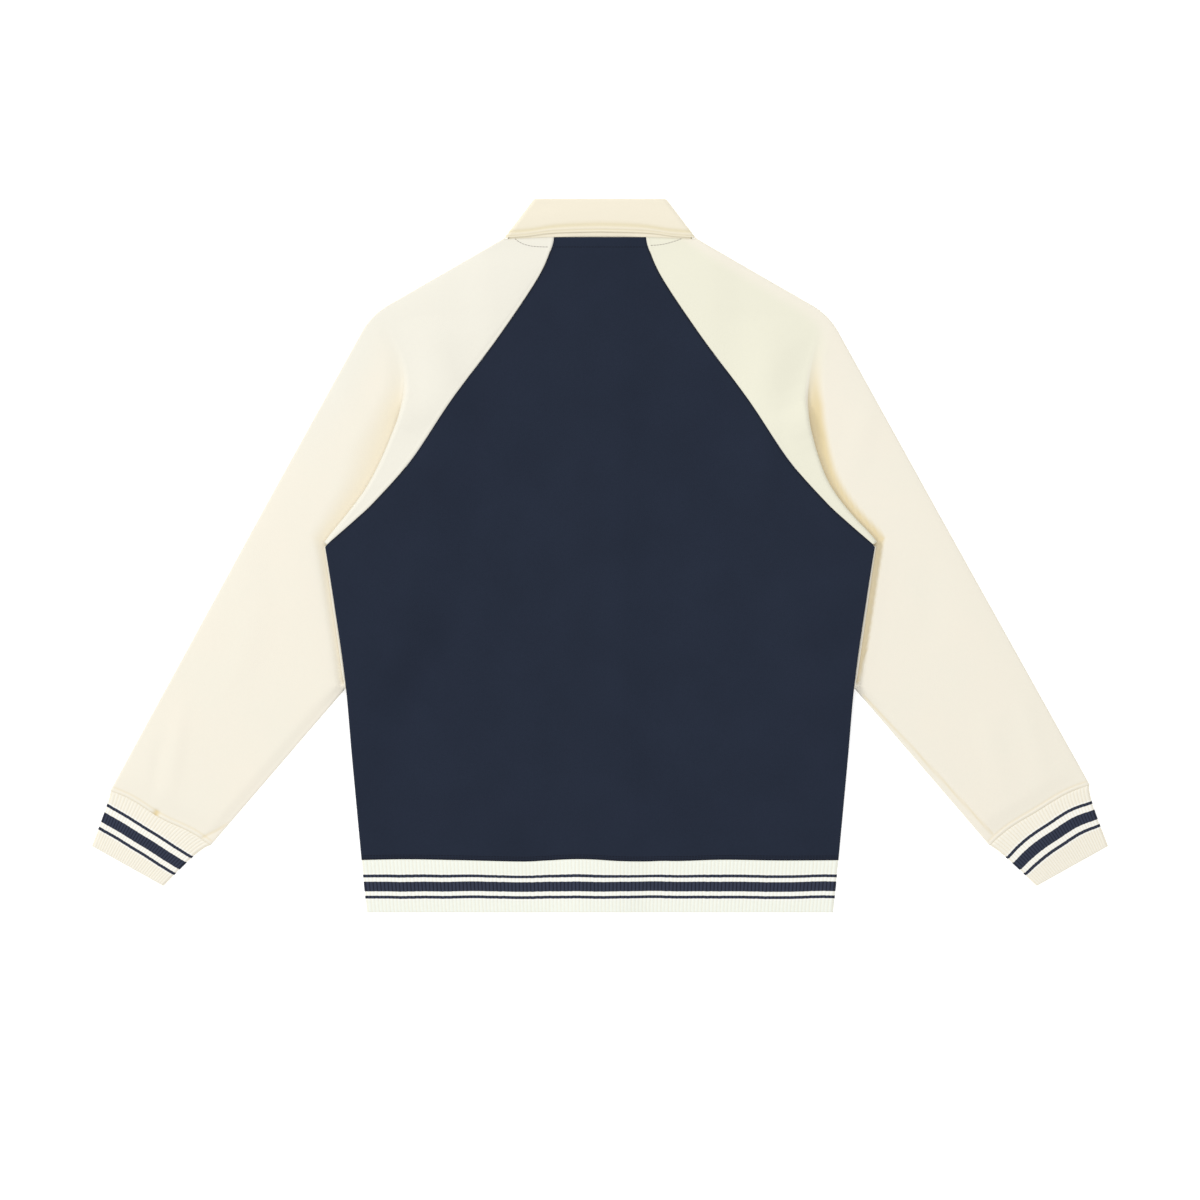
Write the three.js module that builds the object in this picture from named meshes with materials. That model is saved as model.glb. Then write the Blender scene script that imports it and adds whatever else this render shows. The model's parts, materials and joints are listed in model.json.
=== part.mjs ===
// A varsity jacket laid flat on its front, back up, built from the pieces a maker cuts and sews.
// Millimetres. +X is to the right of the back view, +Y runs from hem to collar, +Z is up from the
// surface that the jacket lies on. The origin is the bottom centre of its box.
import * as THREE from "three";
import { mergeVertices } from "three/addons/utils/BufferGeometryUtils.js";

// Cloth, and the stack of layers that lie on each other
const CLOTH = 1.8;
const GAP = 0.3;
const PITCH = CLOTH + GAP;
const HALF_CLOTH = CLOTH / 2;
const HALF_PITCH = PITCH / 2;
const EDGE_RADIUS = HALF_PITCH + HALF_CLOTH;
const FRONT_LEVEL = HALF_CLOTH;
const BACK_LEVEL = FRONT_LEVEL + PITCH;
const MIDDLE_LEVEL = FRONT_LEVEL + HALF_PITCH;
const SEAM = GAP / 2;

// Driving heights of the body, measured up from the middle of its length
const HEM_EDGE = -374.8;
const HEM_SEAM = -319.7;
const ARMPIT = { out: 288.8, up: 10 };
const BACK_NECK = 334.4;
const FRONT_NECK = { out: 78, up: 262 };
const CENTRE_NECK = 245;
const COLLAR_TOP = 374.6;

// Half outlines: out is the distance from the centre line
const SIDE_SEAM = [
  { up: -380, out: 244.4 },
  { up: -319.7, out: 250.4 },
  { up: -214.7, out: 260.2 },
  { up: -130.7, out: 267.8 },
  { up: -46.7, out: 279.8 },
  { up: 10, out: 288.8 },
];
const BACK_RAGLAN = [
  { up: 10, out: 288.8 },
  { up: 37.3, out: 257.3 },
  { up: 58.3, out: 235.2 },
  { up: 100.3, out: 198.5 },
  { up: 163.3, out: 156.5 },
  { up: 226.3, out: 109.2 },
  { up: 289.3, out: 66.7 },
  { up: 322, out: 51.5 },
  { up: 334.4, out: 48.7 },
];
const FRONT_RAGLAN = [
  { up: 10, out: 288.8 },
  { up: 37.3, out: 257.3 },
  { up: 58.3, out: 235.2 },
  { up: 100.3, out: 198.5 },
  { up: 163.3, out: 156.5 },
  { up: 201.4, out: 127.9 },
  { up: 232, out: 103 },
  { up: 262, out: 78 },
];
// The front raglan seam leaves the line of the back one at this share of the way from the neck
const RAGLANS_PART_ALONG = 0.41;

// Outer edge of the sleeve: neck, shoulder bend, and the row that ends at the armpit
const NECK_POINT = new THREE.Vector2(100.6, 332.4);
const SHOULDER_BEND = {
  before: new THREE.Vector2(222, 263.3),
  corner: new THREE.Vector2(240.4, 252.8),
  after: new THREE.Vector2(250.5, 234.5),
};
const ARMPIT_ROW_EDGE = new THREE.Vector2(354.9, 45.7);
const UNDERARM_LEAVES_BODY = new THREE.Vector2(268.4, -141);
const CUFF_SEAM_INNER = new THREE.Vector2(408.8, -304.4);
const CUFF_SEAM_OUT = 514.2;
const CUFF_EDGE_OUTER = new THREE.Vector2(533.6, -305);
const CUFF_EDGE_INNER = new THREE.Vector2(458.4, -347);

// The tuck that folds the top of each arm under the body. tuckEdge is the fold that shows.
const SIDES = {
  left: {
    sign: -1,
    cuffSeamUp: -246.6,
    tuckEdge: [
      { up: -20, out: 310 },
      { up: 13, out: 288 },
      { up: 39, out: 270.9 },
      { up: 71, out: 241.5 },
      { up: 103, out: 225.8 },
      { up: 139, out: 215.3 },
      { up: 173, out: 207 },
      { up: 210, out: 208 },
      { up: 260, out: 216 },
    ],
  },
  right: {
    sign: 1,
    cuffSeamUp: -240.4,
    tuckEdge: [
      { up: -20, out: 310 },
      { up: 13, out: 290 },
      { up: 47, out: 261.5 },
      { up: 86, out: 236.3 },
      { up: 133, out: 222.6 },
      { up: 163, out: 218.4 },
      { up: 210, out: 222 },
      { up: 260, out: 233 },
    ],
  },
};

// Sleeve rows from neck to armpit: how far along both edges, how far the cloth turns at each of
// the two folds of the tuck, and how far the tuck reaches under the body
const RAGLAN_ROWS = [
  { along: 0, turn: 0, tuck: 0 },
  { along: 0.14, turn: 0, tuck: 0 },
  { along: 0.27, turn: 0, tuck: 0 },
  { along: 0.36, turn: 0, tuck: 0 },
  { along: 0.41, turn: 25, tuck: 0 },
  { along: 0.47, turn: 65, tuck: 0 },
  { along: 0.54, turn: 110, tuck: 0.5 },
  { along: 0.61, turn: 155, tuck: 3 },
  { along: 0.68, turn: 180, tuck: 10 },
  { along: 0.76, turn: 180, tuck: 24 },
  { along: 0.84, turn: 180, tuck: 40 },
  { along: 0.91, turn: 180, tuck: 54 },
  { along: 0.965, turn: 180, tuck: 62 },
];
// Sleeve rows from armpit to cuff: places along the outer edge and along the underarm seam
const ARM_ROWS = [
  { outer: 0, inner: 0.002, turn: 180, tuck: 66 },
  { outer: 0.09, inner: 0.12, turn: 180, tuck: 60 },
  { outer: 0.18, inner: 0.25, turn: 180, tuck: 46 },
  { outer: 0.25, inner: 0.34, turn: 180, tuck: 24 },
  { outer: 0.285, inner: 0.385, turn: 180, tuck: 7 },
  { outer: 0.297, inner: 0.4, turn: 110, tuck: 1 },
  { outer: 0.31, inner: 0.416, turn: 50, tuck: -3 },
  { outer: 0.33, inner: 0.44, turn: 0, tuck: -9 },
  { outer: 0.5, inner: 0.58, turn: 0, tuck: -9 },
  { outer: 1, inner: 1, turn: 0, tuck: -9 },
];
const FOLD_LENGTH = Math.PI * PITCH;
// Least lengths of the arm's stretch and of the tuck between its two folds
const LEAST_ARM = 8;
const LEAST_TUCK = 0.3;
// A row with no tuck is shared out between its stretches, and the fold keeps its own length
const PLAIN_SHARES = { arm: 0.5, tuck: 0.05, flap: 0.45 };
// Past the end of the tuck, where the arm is a plain tube, its last stretches are this short
const TUBE_END = 1.5;
const TUBE_SHARES = { tuck: 0.3, fold: 0.4, flap: 0.3 };
// Where the tuck fades out, its fold starts this far before the line that shows
const FADED_FOLD_ROOM = -5;
const FLAP_SETTLES = 25;
const UNDERARM_INSET = 1.2;
const FOLD_STEPS = 3;
const ARM_STEPS = 2;
const TUCK_STEPS = 1;
const FLAP_STEPS = 3;
const SEAM_STEPS = 2;
const ROUND_STEPS = 3;

// How far the arm's tuck lifts the cloth that lies over it, and where the lift begins to fall
const TUCK_LIFT = [
  { up: -400, lift: 0 },
  { up: -186, lift: 0 },
  { up: -158, lift: 4.8 },
  { up: -146, lift: 8.4 },
  { up: -133, lift: 9.8 },
  { up: -112, lift: 9.1 },
  { up: -95, lift: 8.7 },
  { up: 135, lift: 8.7 },
  { up: 160, lift: 8.8 },
  { up: 185, lift: 7.6 },
  { up: 205, lift: 4.5 },
  { up: 225, lift: 1.6 },
  { up: 245, lift: 0 },
  { up: 400, lift: 0 },
];
const LIFT_SHOULDER = [
  { up: -400, out: 244 },
  { up: -150, out: 244 },
  { up: -131, out: 226 },
  { up: -105, out: 211 },
  { up: -60, out: 208 },
  { up: -15, out: 200 },
  { up: 20, out: 191 },
  { up: 60, out: 183 },
  { up: 148, out: 187 },
  { up: 250, out: 186 },
  { up: 400, out: 186 },
];
const LIFT_FALL = 62;
const COLLAR_REST = { out: 113, up: 204, fall: 40 };

// Front overlap and its flat snaps
const OVERLAP = 14;
const SNAP_RADIUS = 7.5;
const SNAP_HEIGHT = 1.2;
const SNAP_ROOM = SNAP_HEIGHT + GAP;
const SNAP_COUNT = 6;
const SNAP_TOP = 175;
const SNAP_BOTTOM = -347;
const SNAP_SIDES = 16;
const OVERLAP_EASE = { from: 17, to: 55 };
const SNAP_EASE_UP = { from: 190, to: 225 };

// Rows of the body panels up their side seam, closest where the tucked arms lift the cloth, and
// columns between centre and side as shares of a panel's half width
const SIDE_ROWS = [-230, -180, -152, -141, -128, -105, -60];
const ARMPIT_CORNER = { below: 7.5, above: 12 };
const PANEL_COLUMNS = [0.07, 0.2, 0.46, 0.6, 0.72, 0.85];
const RAGLAN_EDGE_STEPS = [2, 1, 0];
// The rounded side edge: angles from the layer to the seam, which stop short of its tip
const SIDE_ROUND_ANGLES = [90, 50, 9];
const PANEL_INSET = 3 * SEAM;
// Height from which the rows of a front bend down to the neckline
const FRONT_EASE_FROM = 226;

// Rib knit: the ribs stand up on the upper layer, and the underside is plain
const RIB_HEIGHT = 0.5;
const HEM_RIBS = 125;
const CUFF_RIBS = 31;
const HEM_FRONT_STEPS = 7;
const CUFF_UNDERSIDE_STEPS = 4;

// Collar: the seam on the neck, the fold, and the free edge of the fall
const COLLAR_BACK = { seamOut: 98.5, foldOut: 69.5, edgeOut: 100.4 };
const COLLAR_BACK_EDGE = [
  { share: 0, up: 339.6 },
  { share: 0.5, up: 338.4 },
  { share: 0.8, up: 335 },
  { share: 1, up: 333.8 },
];
const COLLAR_FRONT_SEAM = [
  { share: 0, out: 98.5, up: 334.7 },
  { share: 0.25, out: 91.4, up: 299 },
  { share: 0.5, out: 79.4, up: 263.4 },
  { share: 0.75, out: 43, up: 251 },
  { share: 1, out: 2, up: 245.6 },
];
const COLLAR_FRONT_FOLD = [
  { share: 0, out: 69.5, up: COLLAR_TOP },
  { share: 0.25, out: 60, up: 336 },
  { share: 0.5, out: 47, up: 304 },
  { share: 0.75, out: 27, up: 290 },
  { share: 1, out: 2, up: 285 },
];
const COLLAR_FRONT_EDGE = [
  { share: 0, out: 100.4, up: 333.8 },
  { share: 0.25, out: 110, up: 285 },
  { share: 0.5, out: 98, up: 245 },
  { share: 0.75, out: 76, up: 216 },
  { share: 1, out: 60, up: 207 },
];
const COLLAR_LEVEL = MIDDLE_LEVEL + PITCH;
const STAND_LEVEL = HALF_PITCH;
const FALL_LEVEL = HALF_PITCH + PITCH;
const COLLAR_BACK_STEPS = 14;
const COLLAR_SIDE_STEPS = 4;
const COLLAR_FRONT_STEPS = 8;
// The stand stops short of the fold by a share of its height, and the fall turns in over it
const STAND_STOPS_SHORT = 0.06;
const STAND_ROWS = [0, 0.5, 1];
const FALL_ROWS = [0, 0.35, 0.7, 1];
const FALL_TURN = 150;
const FALL_TURN_STEPS = 3;

const OUTLINE_SAMPLES = 80;
const CROSSING_HALVINGS = 40;
const MERGE_WITHIN = 1e-4;
const UPWARDS = new THREE.Vector3(0, 0, 1);
const COLOURS = { cream: 0xf3ecd8, navy: 0x262c40, metal: 0x2b2f3c };

function clothMaterial(colour) {
  return new THREE.MeshStandardMaterial({ color: colour, roughness: 0.9, metalness: 0 });
}

function snapMaterial() {
  return new THREE.MeshStandardMaterial({ color: COLOURS.metal, roughness: 0.4, metalness: 0.6 });
}

// Straight reading of a table: the value of one column at a place in another
function readTable(rows, key, place, value) {
  const last = rows.length - 1;
  if (place <= rows[0][key]) return rows[0][value];
  if (place >= rows[last][key]) return rows[last][value];
  const next = rows.findIndex((row) => row[key] > place);
  const low = rows[next - 1];
  const high = rows[next];
  const share = (place - low[key]) / (high[key] - low[key]);
  return THREE.MathUtils.lerp(low[value], high[value], share);
}

// Smooth reading of an outline table, as a spline through its rows
function smoothOutline(rows) {
  const points = rows.map((row) => new THREE.Vector2(row.up, row.out));
  const samples = new THREE.SplineCurve(points).getPoints(OUTLINE_SAMPLES);
  const table = samples.map((point) => ({ up: point.x, out: point.y }));
  return (up) => readTable(table, "up", up, "out");
}

const sideSeam = smoothOutline(SIDE_SEAM);
const backRaglan = smoothOutline(BACK_RAGLAN);
const frontRaglan = smoothOutline(FRONT_RAGLAN);
const liftShoulder = smoothOutline(LIFT_SHOULDER);

function ease(value, from, to) {
  return THREE.MathUtils.smoothstep(value, from, to);
}

// Height that the tucked arm adds under the cloth at a place
function tuckLift(x, y) {
  const most = readTable(TUCK_LIFT, "up", y, "lift");
  const shoulder = liftShoulder(y);
  return most * ease(Math.abs(x), shoulder - LIFT_FALL, shoulder);
}

// Height that the front of the collar adds under the cloth round the neck
function collarLift(x, y) {
  const aside = Math.max(Math.abs(x) - COLLAR_REST.out, 0);
  const below = Math.max(COLLAR_REST.up - y, 0);
  return PITCH * (1 - ease(Math.hypot(aside, below), 0, COLLAR_REST.fall));
}

function snapLift(x, y) {
  const across = 1 - ease(Math.abs(x), OVERLAP_EASE.from, OVERLAP_EASE.to);
  return SNAP_ROOM * across * (1 - ease(y, SNAP_EASE_UP.from, SNAP_EASE_UP.to));
}

function overlapLift(x) {
  return PITCH * (1 - ease(Math.abs(x), OVERLAP_EASE.from, OVERLAP_EASE.to));
}

function clothLift(x, y) {
  return tuckLift(x, y) + collarLift(x, y);
}

// Heights of the body's layers at a place
const LEVELS = {
  frontOuter: (x, y) => FRONT_LEVEL + clothLift(x, y) + snapLift(x, y),
  frontInner: (x, y) => FRONT_LEVEL + clothLift(x, y) + snapLift(x, y) + overlapLift(x),
  back: (x, y) => BACK_LEVEL + clothLift(x, y) + snapLift(x, y) + overlapLift(x),
};

// A closed wall between an outer and an inner grid of points, with rims round its four borders.
// From `closedFrom` on, the first and last columns are one line, and the wall is a tube there.
function wallBetween(outer, inner, closedFrom = Infinity) {
  const rows = outer.length;
  const columns = outer[0].length;
  const positions = [];
  const addQuad = (a, b, c, d) => {
    for (const point of [a, b, c, a, c, d]) positions.push(point.x, point.y, point.z);
  };
  for (let i = 0; i < rows - 1; i += 1) {
    for (let j = 0; j < columns - 1; j += 1) {
      addQuad(outer[i][j], outer[i][j + 1], outer[i + 1][j + 1], outer[i + 1][j]);
      addQuad(inner[i][j], inner[i + 1][j], inner[i + 1][j + 1], inner[i][j + 1]);
    }
    if (i >= closedFrom) continue;
    const end = columns - 1;
    addQuad(outer[i][0], outer[i + 1][0], inner[i + 1][0], inner[i][0]);
    addQuad(outer[i][end], inner[i][end], inner[i + 1][end], outer[i + 1][end]);
  }
  const foot = rows - 1;
  for (let j = 0; j < columns - 1; j += 1) {
    addQuad(outer[0][j], inner[0][j], inner[0][j + 1], outer[0][j + 1]);
    addQuad(outer[foot][j], outer[foot][j + 1], inner[foot][j + 1], inner[foot][j]);
  }
  const geometry = new THREE.BufferGeometry();
  geometry.setAttribute("position", new THREE.Float32BufferAttribute(positions, 3));
  return facingOut(mergeVertices(geometry, MERGE_WITHIN));
}

function signedVolume(geometry) {
  const place = geometry.getAttribute("position");
  const index = geometry.getIndex();
  const corner = [new THREE.Vector3(), new THREE.Vector3(), new THREE.Vector3()];
  let volume = 0;
  for (let i = 0; i < index.count; i += 3) {
    corner.forEach((point, k) => point.fromBufferAttribute(place, index.getX(i + k)));
    volume += corner[0].dot(corner[1].clone().cross(corner[2])) / 6;
  }
  return volume;
}

// Turns every face round if the wall came out inside out
function facingOut(geometry) {
  if (signedVolume(geometry) < 0) {
    const index = geometry.getIndex();
    for (let i = 0; i < index.count; i += 3) {
      const second = index.getX(i + 1);
      index.setX(i + 1, index.getX(i + 2));
      index.setX(i + 2, second);
    }
  }
  geometry.computeVertexNormals();
  return geometry;
}

function makeMesh(name, geometry, material) {
  const mesh = new THREE.Mesh(geometry, material);
  mesh.name = name;
  return mesh;
}

// A line of a section, moved sideways to its left by a distance, with mitred corners.
// Each point has u, along the row, and z, its height. A closed line starts and ends at one point.
function offsetLine(line, distance, closed = false) {
  const last = line.length - 1;
  return line.map((point, i) => {
    const before = i > 0 ? line[i - 1] : closed ? line[last - 1] : null;
    const after = i < last ? line[i + 1] : closed ? line[1] : null;
    const into = before && new THREE.Vector2(point.u - before.u, point.z - before.z).normalize();
    const away = after && new THREE.Vector2(after.u - point.u, after.z - point.z).normalize();
    const along = (into || away).clone().add(away || into).normalize();
    const mitre = distance / along.dot(into || away);
    return { u: point.u - along.y * mitre, z: point.z + along.x * mitre };
  });
}

// Middle line of both sleeve layers in one row: in along the arm, round the hidden fold, back out
// to the fold that shows, round it, and in over the flap. `lengths` holds each stretch's length.
function spineLine(lengths, turn, closed) {
  const angle = THREE.MathUtils.degToRad(turn);
  const points = [{ u: 0, z: 0 }];
  let heading = 0;
  const advance = (length, steps, turning) => {
    for (let k = 0; k < steps; k += 1) {
      const from = points[points.length - 1];
      const step = length / steps;
      const half = turning / steps / 2;
      const chord = half === 0 ? step : (step * Math.sin(half)) / half;
      heading += half;
      points.push({ u: from.u + chord * Math.cos(heading), z: from.z + chord * Math.sin(heading) });
      heading += half;
    }
  };
  advance(lengths.arm, ARM_STEPS, 0);
  advance(FOLD_LENGTH, FOLD_STEPS, angle);
  advance(lengths.tuck, TUCK_STEPS, 0);
  advance(lengths.fold, FOLD_STEPS, closed ? 0 : -angle);
  advance(lengths.flap, closed ? FLAP_STEPS : FLAP_STEPS + SEAM_STEPS, 0);
  return points;
}

// Round end of a closed tube: from one layer's end to the tip of the tube
function roundEnd(spine, side) {
  const tip = spine[spine.length - 1];
  const before = spine[spine.length - 2];
  const along = new THREE.Vector2(tip.u - before.u, tip.z - before.z).normalize();
  const across = new THREE.Vector2(-along.y, along.x).multiplyScalar(side);
  const points = [];
  for (let step = 1; step <= SEAM_STEPS; step += 1) {
    const angle = (step / SEAM_STEPS) * (Math.PI / 2);
    const away = across.clone().multiplyScalar(Math.cos(angle));
    away.add(along.clone().multiplyScalar(Math.sin(angle))).multiplyScalar(HALF_PITCH);
    points.push({ u: tip.u + away.x, z: tip.z + away.y });
  }
  return points;
}

function placeAlong(start, direction, u) {
  return new THREE.Vector2(start.x + direction.x * u, start.y + direction.y * u);
}

// Distance along a row at which it crosses an outline, walking inwards
function crossing(start, direction, outline, limit) {
  let low = 0;
  let high = limit;
  for (let k = 0; k < CROSSING_HALVINGS; k += 1) {
    const middle = (low + high) / 2;
    const place = placeAlong(start, direction, middle);
    if (place.x > outline(place.y)) low = middle;
    else high = middle;
  }
  return low;
}

// Lengths of the stretches of a row of the closed arm, whose last three lie past its one fold
function tubeLengths(row, reach) {
  const free = row.turn === 180 ? row.tuck : TUBE_END;
  const plainArm = reach - EDGE_RADIUS - FOLD_LENGTH - free;
  const arm = row.turn === 0 ? plainArm : reach + row.tuck + EDGE_RADIUS;
  return {
    arm,
    tuck: Math.max(free * TUBE_SHARES.tuck, LEAST_TUCK),
    fold: free * TUBE_SHARES.fold,
    flap: free * TUBE_SHARES.flap,
  };
}

// Lengths of the stretches of a row between the outer edge and a raglan seam
function raglanLengths(row, direction, reach) {
  if (row.turn === 0) {
    const plain = reach - SEAM - 2 * FOLD_LENGTH;
    return {
      arm: plain * PLAIN_SHARES.arm,
      tuck: plain * PLAIN_SHARES.tuck,
      fold: FOLD_LENGTH,
      flap: plain * PLAIN_SHARES.flap,
    };
  }
  const visible = crossing(row.edge, direction, row.tuckEdge, reach);
  const edgeRoom = THREE.MathUtils.lerp(FADED_FOLD_ROOM, PITCH + EDGE_RADIUS, row.turn / 180);
  const arm = Math.max(visible + edgeRoom + row.tuck, LEAST_ARM);
  const angle = THREE.MathUtils.degToRad(row.turn);
  const bend = (FOLD_LENGTH * Math.sin(angle)) / angle;
  const used = arm + 2 * bend + row.tuck * Math.cos(angle);
  return { arm, tuck: Math.max(row.tuck, LEAST_TUCK), fold: FOLD_LENGTH, flap: reach - SEAM - used };
}

// The middle line of one layer of a sleeve row, lifted by what lies under it
function layerSpine(row, target) {
  const across = target.clone().sub(row.edge);
  const reach = across.length();
  const direction = across.normalize();
  const lengths = row.closed ? tubeLengths(row, reach) : raglanLengths(row, direction, reach);
  const spine = spineLine(lengths, row.turn, row.closed);
  const flapStart = ARM_STEPS + 2 * FOLD_STEPS + TUCK_STEPS;
  const startPlace = placeAlong(row.edge, direction, spine[flapStart].u);
  const startError = spine[flapStart].z - tuckLift(startPlace.x, startPlace.y);
  spine.forEach((point, k) => {
    const place = placeAlong(row.edge, direction, point.u);
    if (!row.closed && k >= flapStart) {
      const fade = 1 - ease(point.u - spine[flapStart].u, 0, FLAP_SETTLES);
      point.z = tuckLift(place.x, place.y) + startError * fade;
    }
    point.z += MIDDLE_LEVEL + collarLift(place.x, place.y);
  });
  return { spine, direction };
}

// One row of a sleeve as a ring: back layer from its seam to the outer edge, round it, and the
// front layer back to its own seam
function sleeveRing(row, side) {
  const back = layerSpine(row, row.backTarget);
  const front = layerSpine(row, row.frontTarget);
  const backLine = offsetLine(back.spine, HALF_PITCH);
  const frontLine = offsetLine(front.spine, -HALF_PITCH);
  if (row.closed) {
    backLine.push(...roundEnd(back.spine, 1));
    frontLine.push(...roundEnd(front.spine, -1));
  }
  const rim = back.spine[0];
  const turn = [];
  for (let k = 1; k < ROUND_STEPS; k += 1) {
    const angle = Math.PI / 2 + (k / ROUND_STEPS) * Math.PI;
    turn.push({ u: rim.u + HALF_PITCH * Math.cos(angle), z: rim.z + HALF_PITCH * Math.sin(angle) });
  }
  const line = [...backLine.reverse(), ...turn, ...frontLine];
  const directions = line.map((point, k) => {
    if (k < backLine.length) return back.direction;
    if (k < backLine.length + turn.length) {
      return back.direction.clone().add(front.direction).normalize();
    }
    return front.direction;
  });
  const place = (points) =>
    points.map((point, k) => {
      const plan = placeAlong(row.edge, directions[k], point.u);
      return new THREE.Vector3(side.sign * plan.x, plan.y, point.z);
    });
  return {
    outer: place(offsetLine(line, -HALF_CLOTH, row.closed)),
    inner: place(offsetLine(line, HALF_CLOTH, row.closed)),
  };
}

function shoulderEdge() {
  const path = new THREE.CurvePath();
  path.add(new THREE.LineCurve(NECK_POINT, SHOULDER_BEND.before));
  path.add(new THREE.QuadraticBezierCurve(SHOULDER_BEND.before, SHOULDER_BEND.corner, SHOULDER_BEND.after));
  path.add(new THREE.LineCurve(SHOULDER_BEND.after, ARMPIT_ROW_EDGE));
  return path;
}

// Place on the underarm seam: from the armpit to where it leaves the body, then to the cuff
function underarmPlace(share) {
  const armpit = new THREE.Vector2(ARMPIT.out + UNDERARM_INSET, ARMPIT.up);
  const path = new THREE.CurvePath();
  path.add(new THREE.LineCurve(armpit, UNDERARM_LEAVES_BODY));
  path.add(new THREE.LineCurve(UNDERARM_LEAVES_BODY, CUFF_SEAM_INNER));
  return path.getPointAt(share);
}

// Heights at which a sleeve row meets the raglan seams of back and front
function backSeamUp(along) {
  return THREE.MathUtils.lerp(BACK_NECK, ARMPIT.up, along);
}

function frontSeamUp(along) {
  const parted = Math.max(1 - along / RAGLANS_PART_ALONG, 0);
  const partingUp = backSeamUp(Math.max(along, RAGLANS_PART_ALONG));
  return THREE.MathUtils.lerp(partingUp, FRONT_NECK.up, parted);
}

function insetEdge(place, direction) {
  return placeAlong(place, direction, EDGE_RADIUS);
}

function sleeveRows(side) {
  const edge = shoulderEdge();
  const tuckEdge = smoothOutline(side.tuckEdge);
  const rows = RAGLAN_ROWS.map((station) => {
    const outline = edge.getPointAt(station.along);
    const backUp = backSeamUp(station.along);
    const frontUp = frontSeamUp(station.along);
    const backTarget = new THREE.Vector2(backRaglan(backUp), backUp);
    const frontTarget = new THREE.Vector2(frontRaglan(frontUp), frontUp);
    const inwards = backTarget.clone().sub(outline).normalize();
    return {
      ...station,
      closed: false,
      edge: insetEdge(outline, inwards),
      backTarget,
      frontTarget,
      tuckEdge,
    };
  });
  const cuffOuter = new THREE.Vector2(CUFF_SEAM_OUT, side.cuffSeamUp);
  const armEdge = new THREE.LineCurve(ARMPIT_ROW_EDGE, cuffOuter);
  const armRows = ARM_ROWS.map((station) => {
    const outline = armEdge.getPointAt(station.outer);
    const target = underarmPlace(station.inner);
    const inwards = target.clone().sub(outline).normalize();
    return {
      ...station,
      closed: true,
      edge: insetEdge(outline, inwards),
      backTarget: target,
      frontTarget: target,
      tuckEdge,
    };
  });
  return [...rows, ...armRows];
}

function makeSleeve(name, side) {
  const rings = sleeveRows(side).map((row) => sleeveRing(row, side));
  const outer = rings.map((ring) => ring.outer);
  const inner = rings.map((ring) => ring.inner);
  const wall = wallBetween(outer, inner, RAGLAN_ROWS.length);
  return makeMesh(name, wall, clothMaterial(COLOURS.cream));
}

// A flattened ring of rib knit, ribs raised on its upper layer
function makeCuff(name, side) {
  const seam = {
    outer: new THREE.Vector2(CUFF_SEAM_OUT, side.cuffSeamUp),
    inner: CUFF_SEAM_INNER,
  };
  const along = CUFF_EDGE_OUTER.clone().add(CUFF_EDGE_INNER).sub(seam.outer).sub(seam.inner).normalize();
  const start = { outer: placeAlong(seam.outer, along, GAP), inner: placeAlong(seam.inner, along, GAP) };
  const end = { outer: CUFF_EDGE_OUTER, inner: CUFF_EDGE_INNER };
  const rings = [start, end].map((edge) => {
    const across = edge.inner.clone().sub(edge.outer);
    const width = across.length() - 2 * EDGE_RADIUS;
    const direction = across.normalize();
    const origin = placeAlong(edge.outer, direction, EDGE_RADIUS);
    const middle = [];
    const raise = [];
    const add = (u, z, height) => {
      middle.push({ u, z: MIDDLE_LEVEL + z });
      raise.push(height);
    };
    const addRound = (centre, from) => {
      for (let k = 1; k < ROUND_STEPS; k += 1) {
        const angle = from + (k / ROUND_STEPS) * Math.PI;
        add(centre + HALF_PITCH * Math.cos(angle), HALF_PITCH * Math.sin(angle), 0);
      }
    };
    const ridges = 2 * CUFF_RIBS;
    for (let k = ridges; k >= 0; k -= 1) {
      add((width * k) / ridges, HALF_PITCH, k % 2 === 1 ? RIB_HEIGHT : 0);
    }
    addRound(0, Math.PI / 2);
    for (let k = 0; k <= CUFF_UNDERSIDE_STEPS; k += 1) {
      add((width * k) / CUFF_UNDERSIDE_STEPS, -HALF_PITCH, 0);
    }
    addRound(width, -Math.PI / 2);
    add(width, HALF_PITCH, 0);
    const outerLine = offsetLine(middle, -HALF_CLOTH, true);
    outerLine.forEach((point, k) => {
      point.z += raise[k];
    });
    const place = (points) =>
      points.map((point) => {
        const plan = placeAlong(origin, direction, point.u);
        return new THREE.Vector3(side.sign * plan.x, plan.y, point.z);
      });
    return { outer: place(outerLine), inner: place(offsetLine(middle, HALF_CLOTH, true)) };
  });
  const wall = wallBetween(rings.map((ring) => ring.outer), rings.map((ring) => ring.inner), 0);
  return makeMesh(name, wall, clothMaterial(COLOURS.cream));
}

// Turns points with a normal in the X-Z plane into the two faces of a wall
function facesOf(row, thickness = CLOTH) {
  const shifted = (sign, extra) =>
    row.map(({ place, normal, raise = 0 }) => {
      const shift = (sign * thickness) / 2 + (extra ? raise : 0);
      return place.clone().add(normal.clone().multiplyScalar(shift));
    });
  return { outer: shifted(1, true), inner: shifted(-1, false) };
}

// The rounded side edge that front and back share: a quarter round from the layer to the seam.
// `layer` is 1 for the back and -1 for the front.
function sideRound(sign, out, y, middle, layer) {
  const centre = out - EDGE_RADIUS;
  return SIDE_ROUND_ANGLES.map((degrees) => {
    const angle = THREE.MathUtils.degToRad(degrees);
    const normal = new THREE.Vector3(sign * Math.cos(angle), 0, layer * Math.sin(angle));
    const place = new THREE.Vector3(sign * centre, y, middle);
    place.add(normal.clone().multiplyScalar(HALF_PITCH));
    return { place, normal: normal.multiplyScalar(layer) };
  });
}

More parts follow.
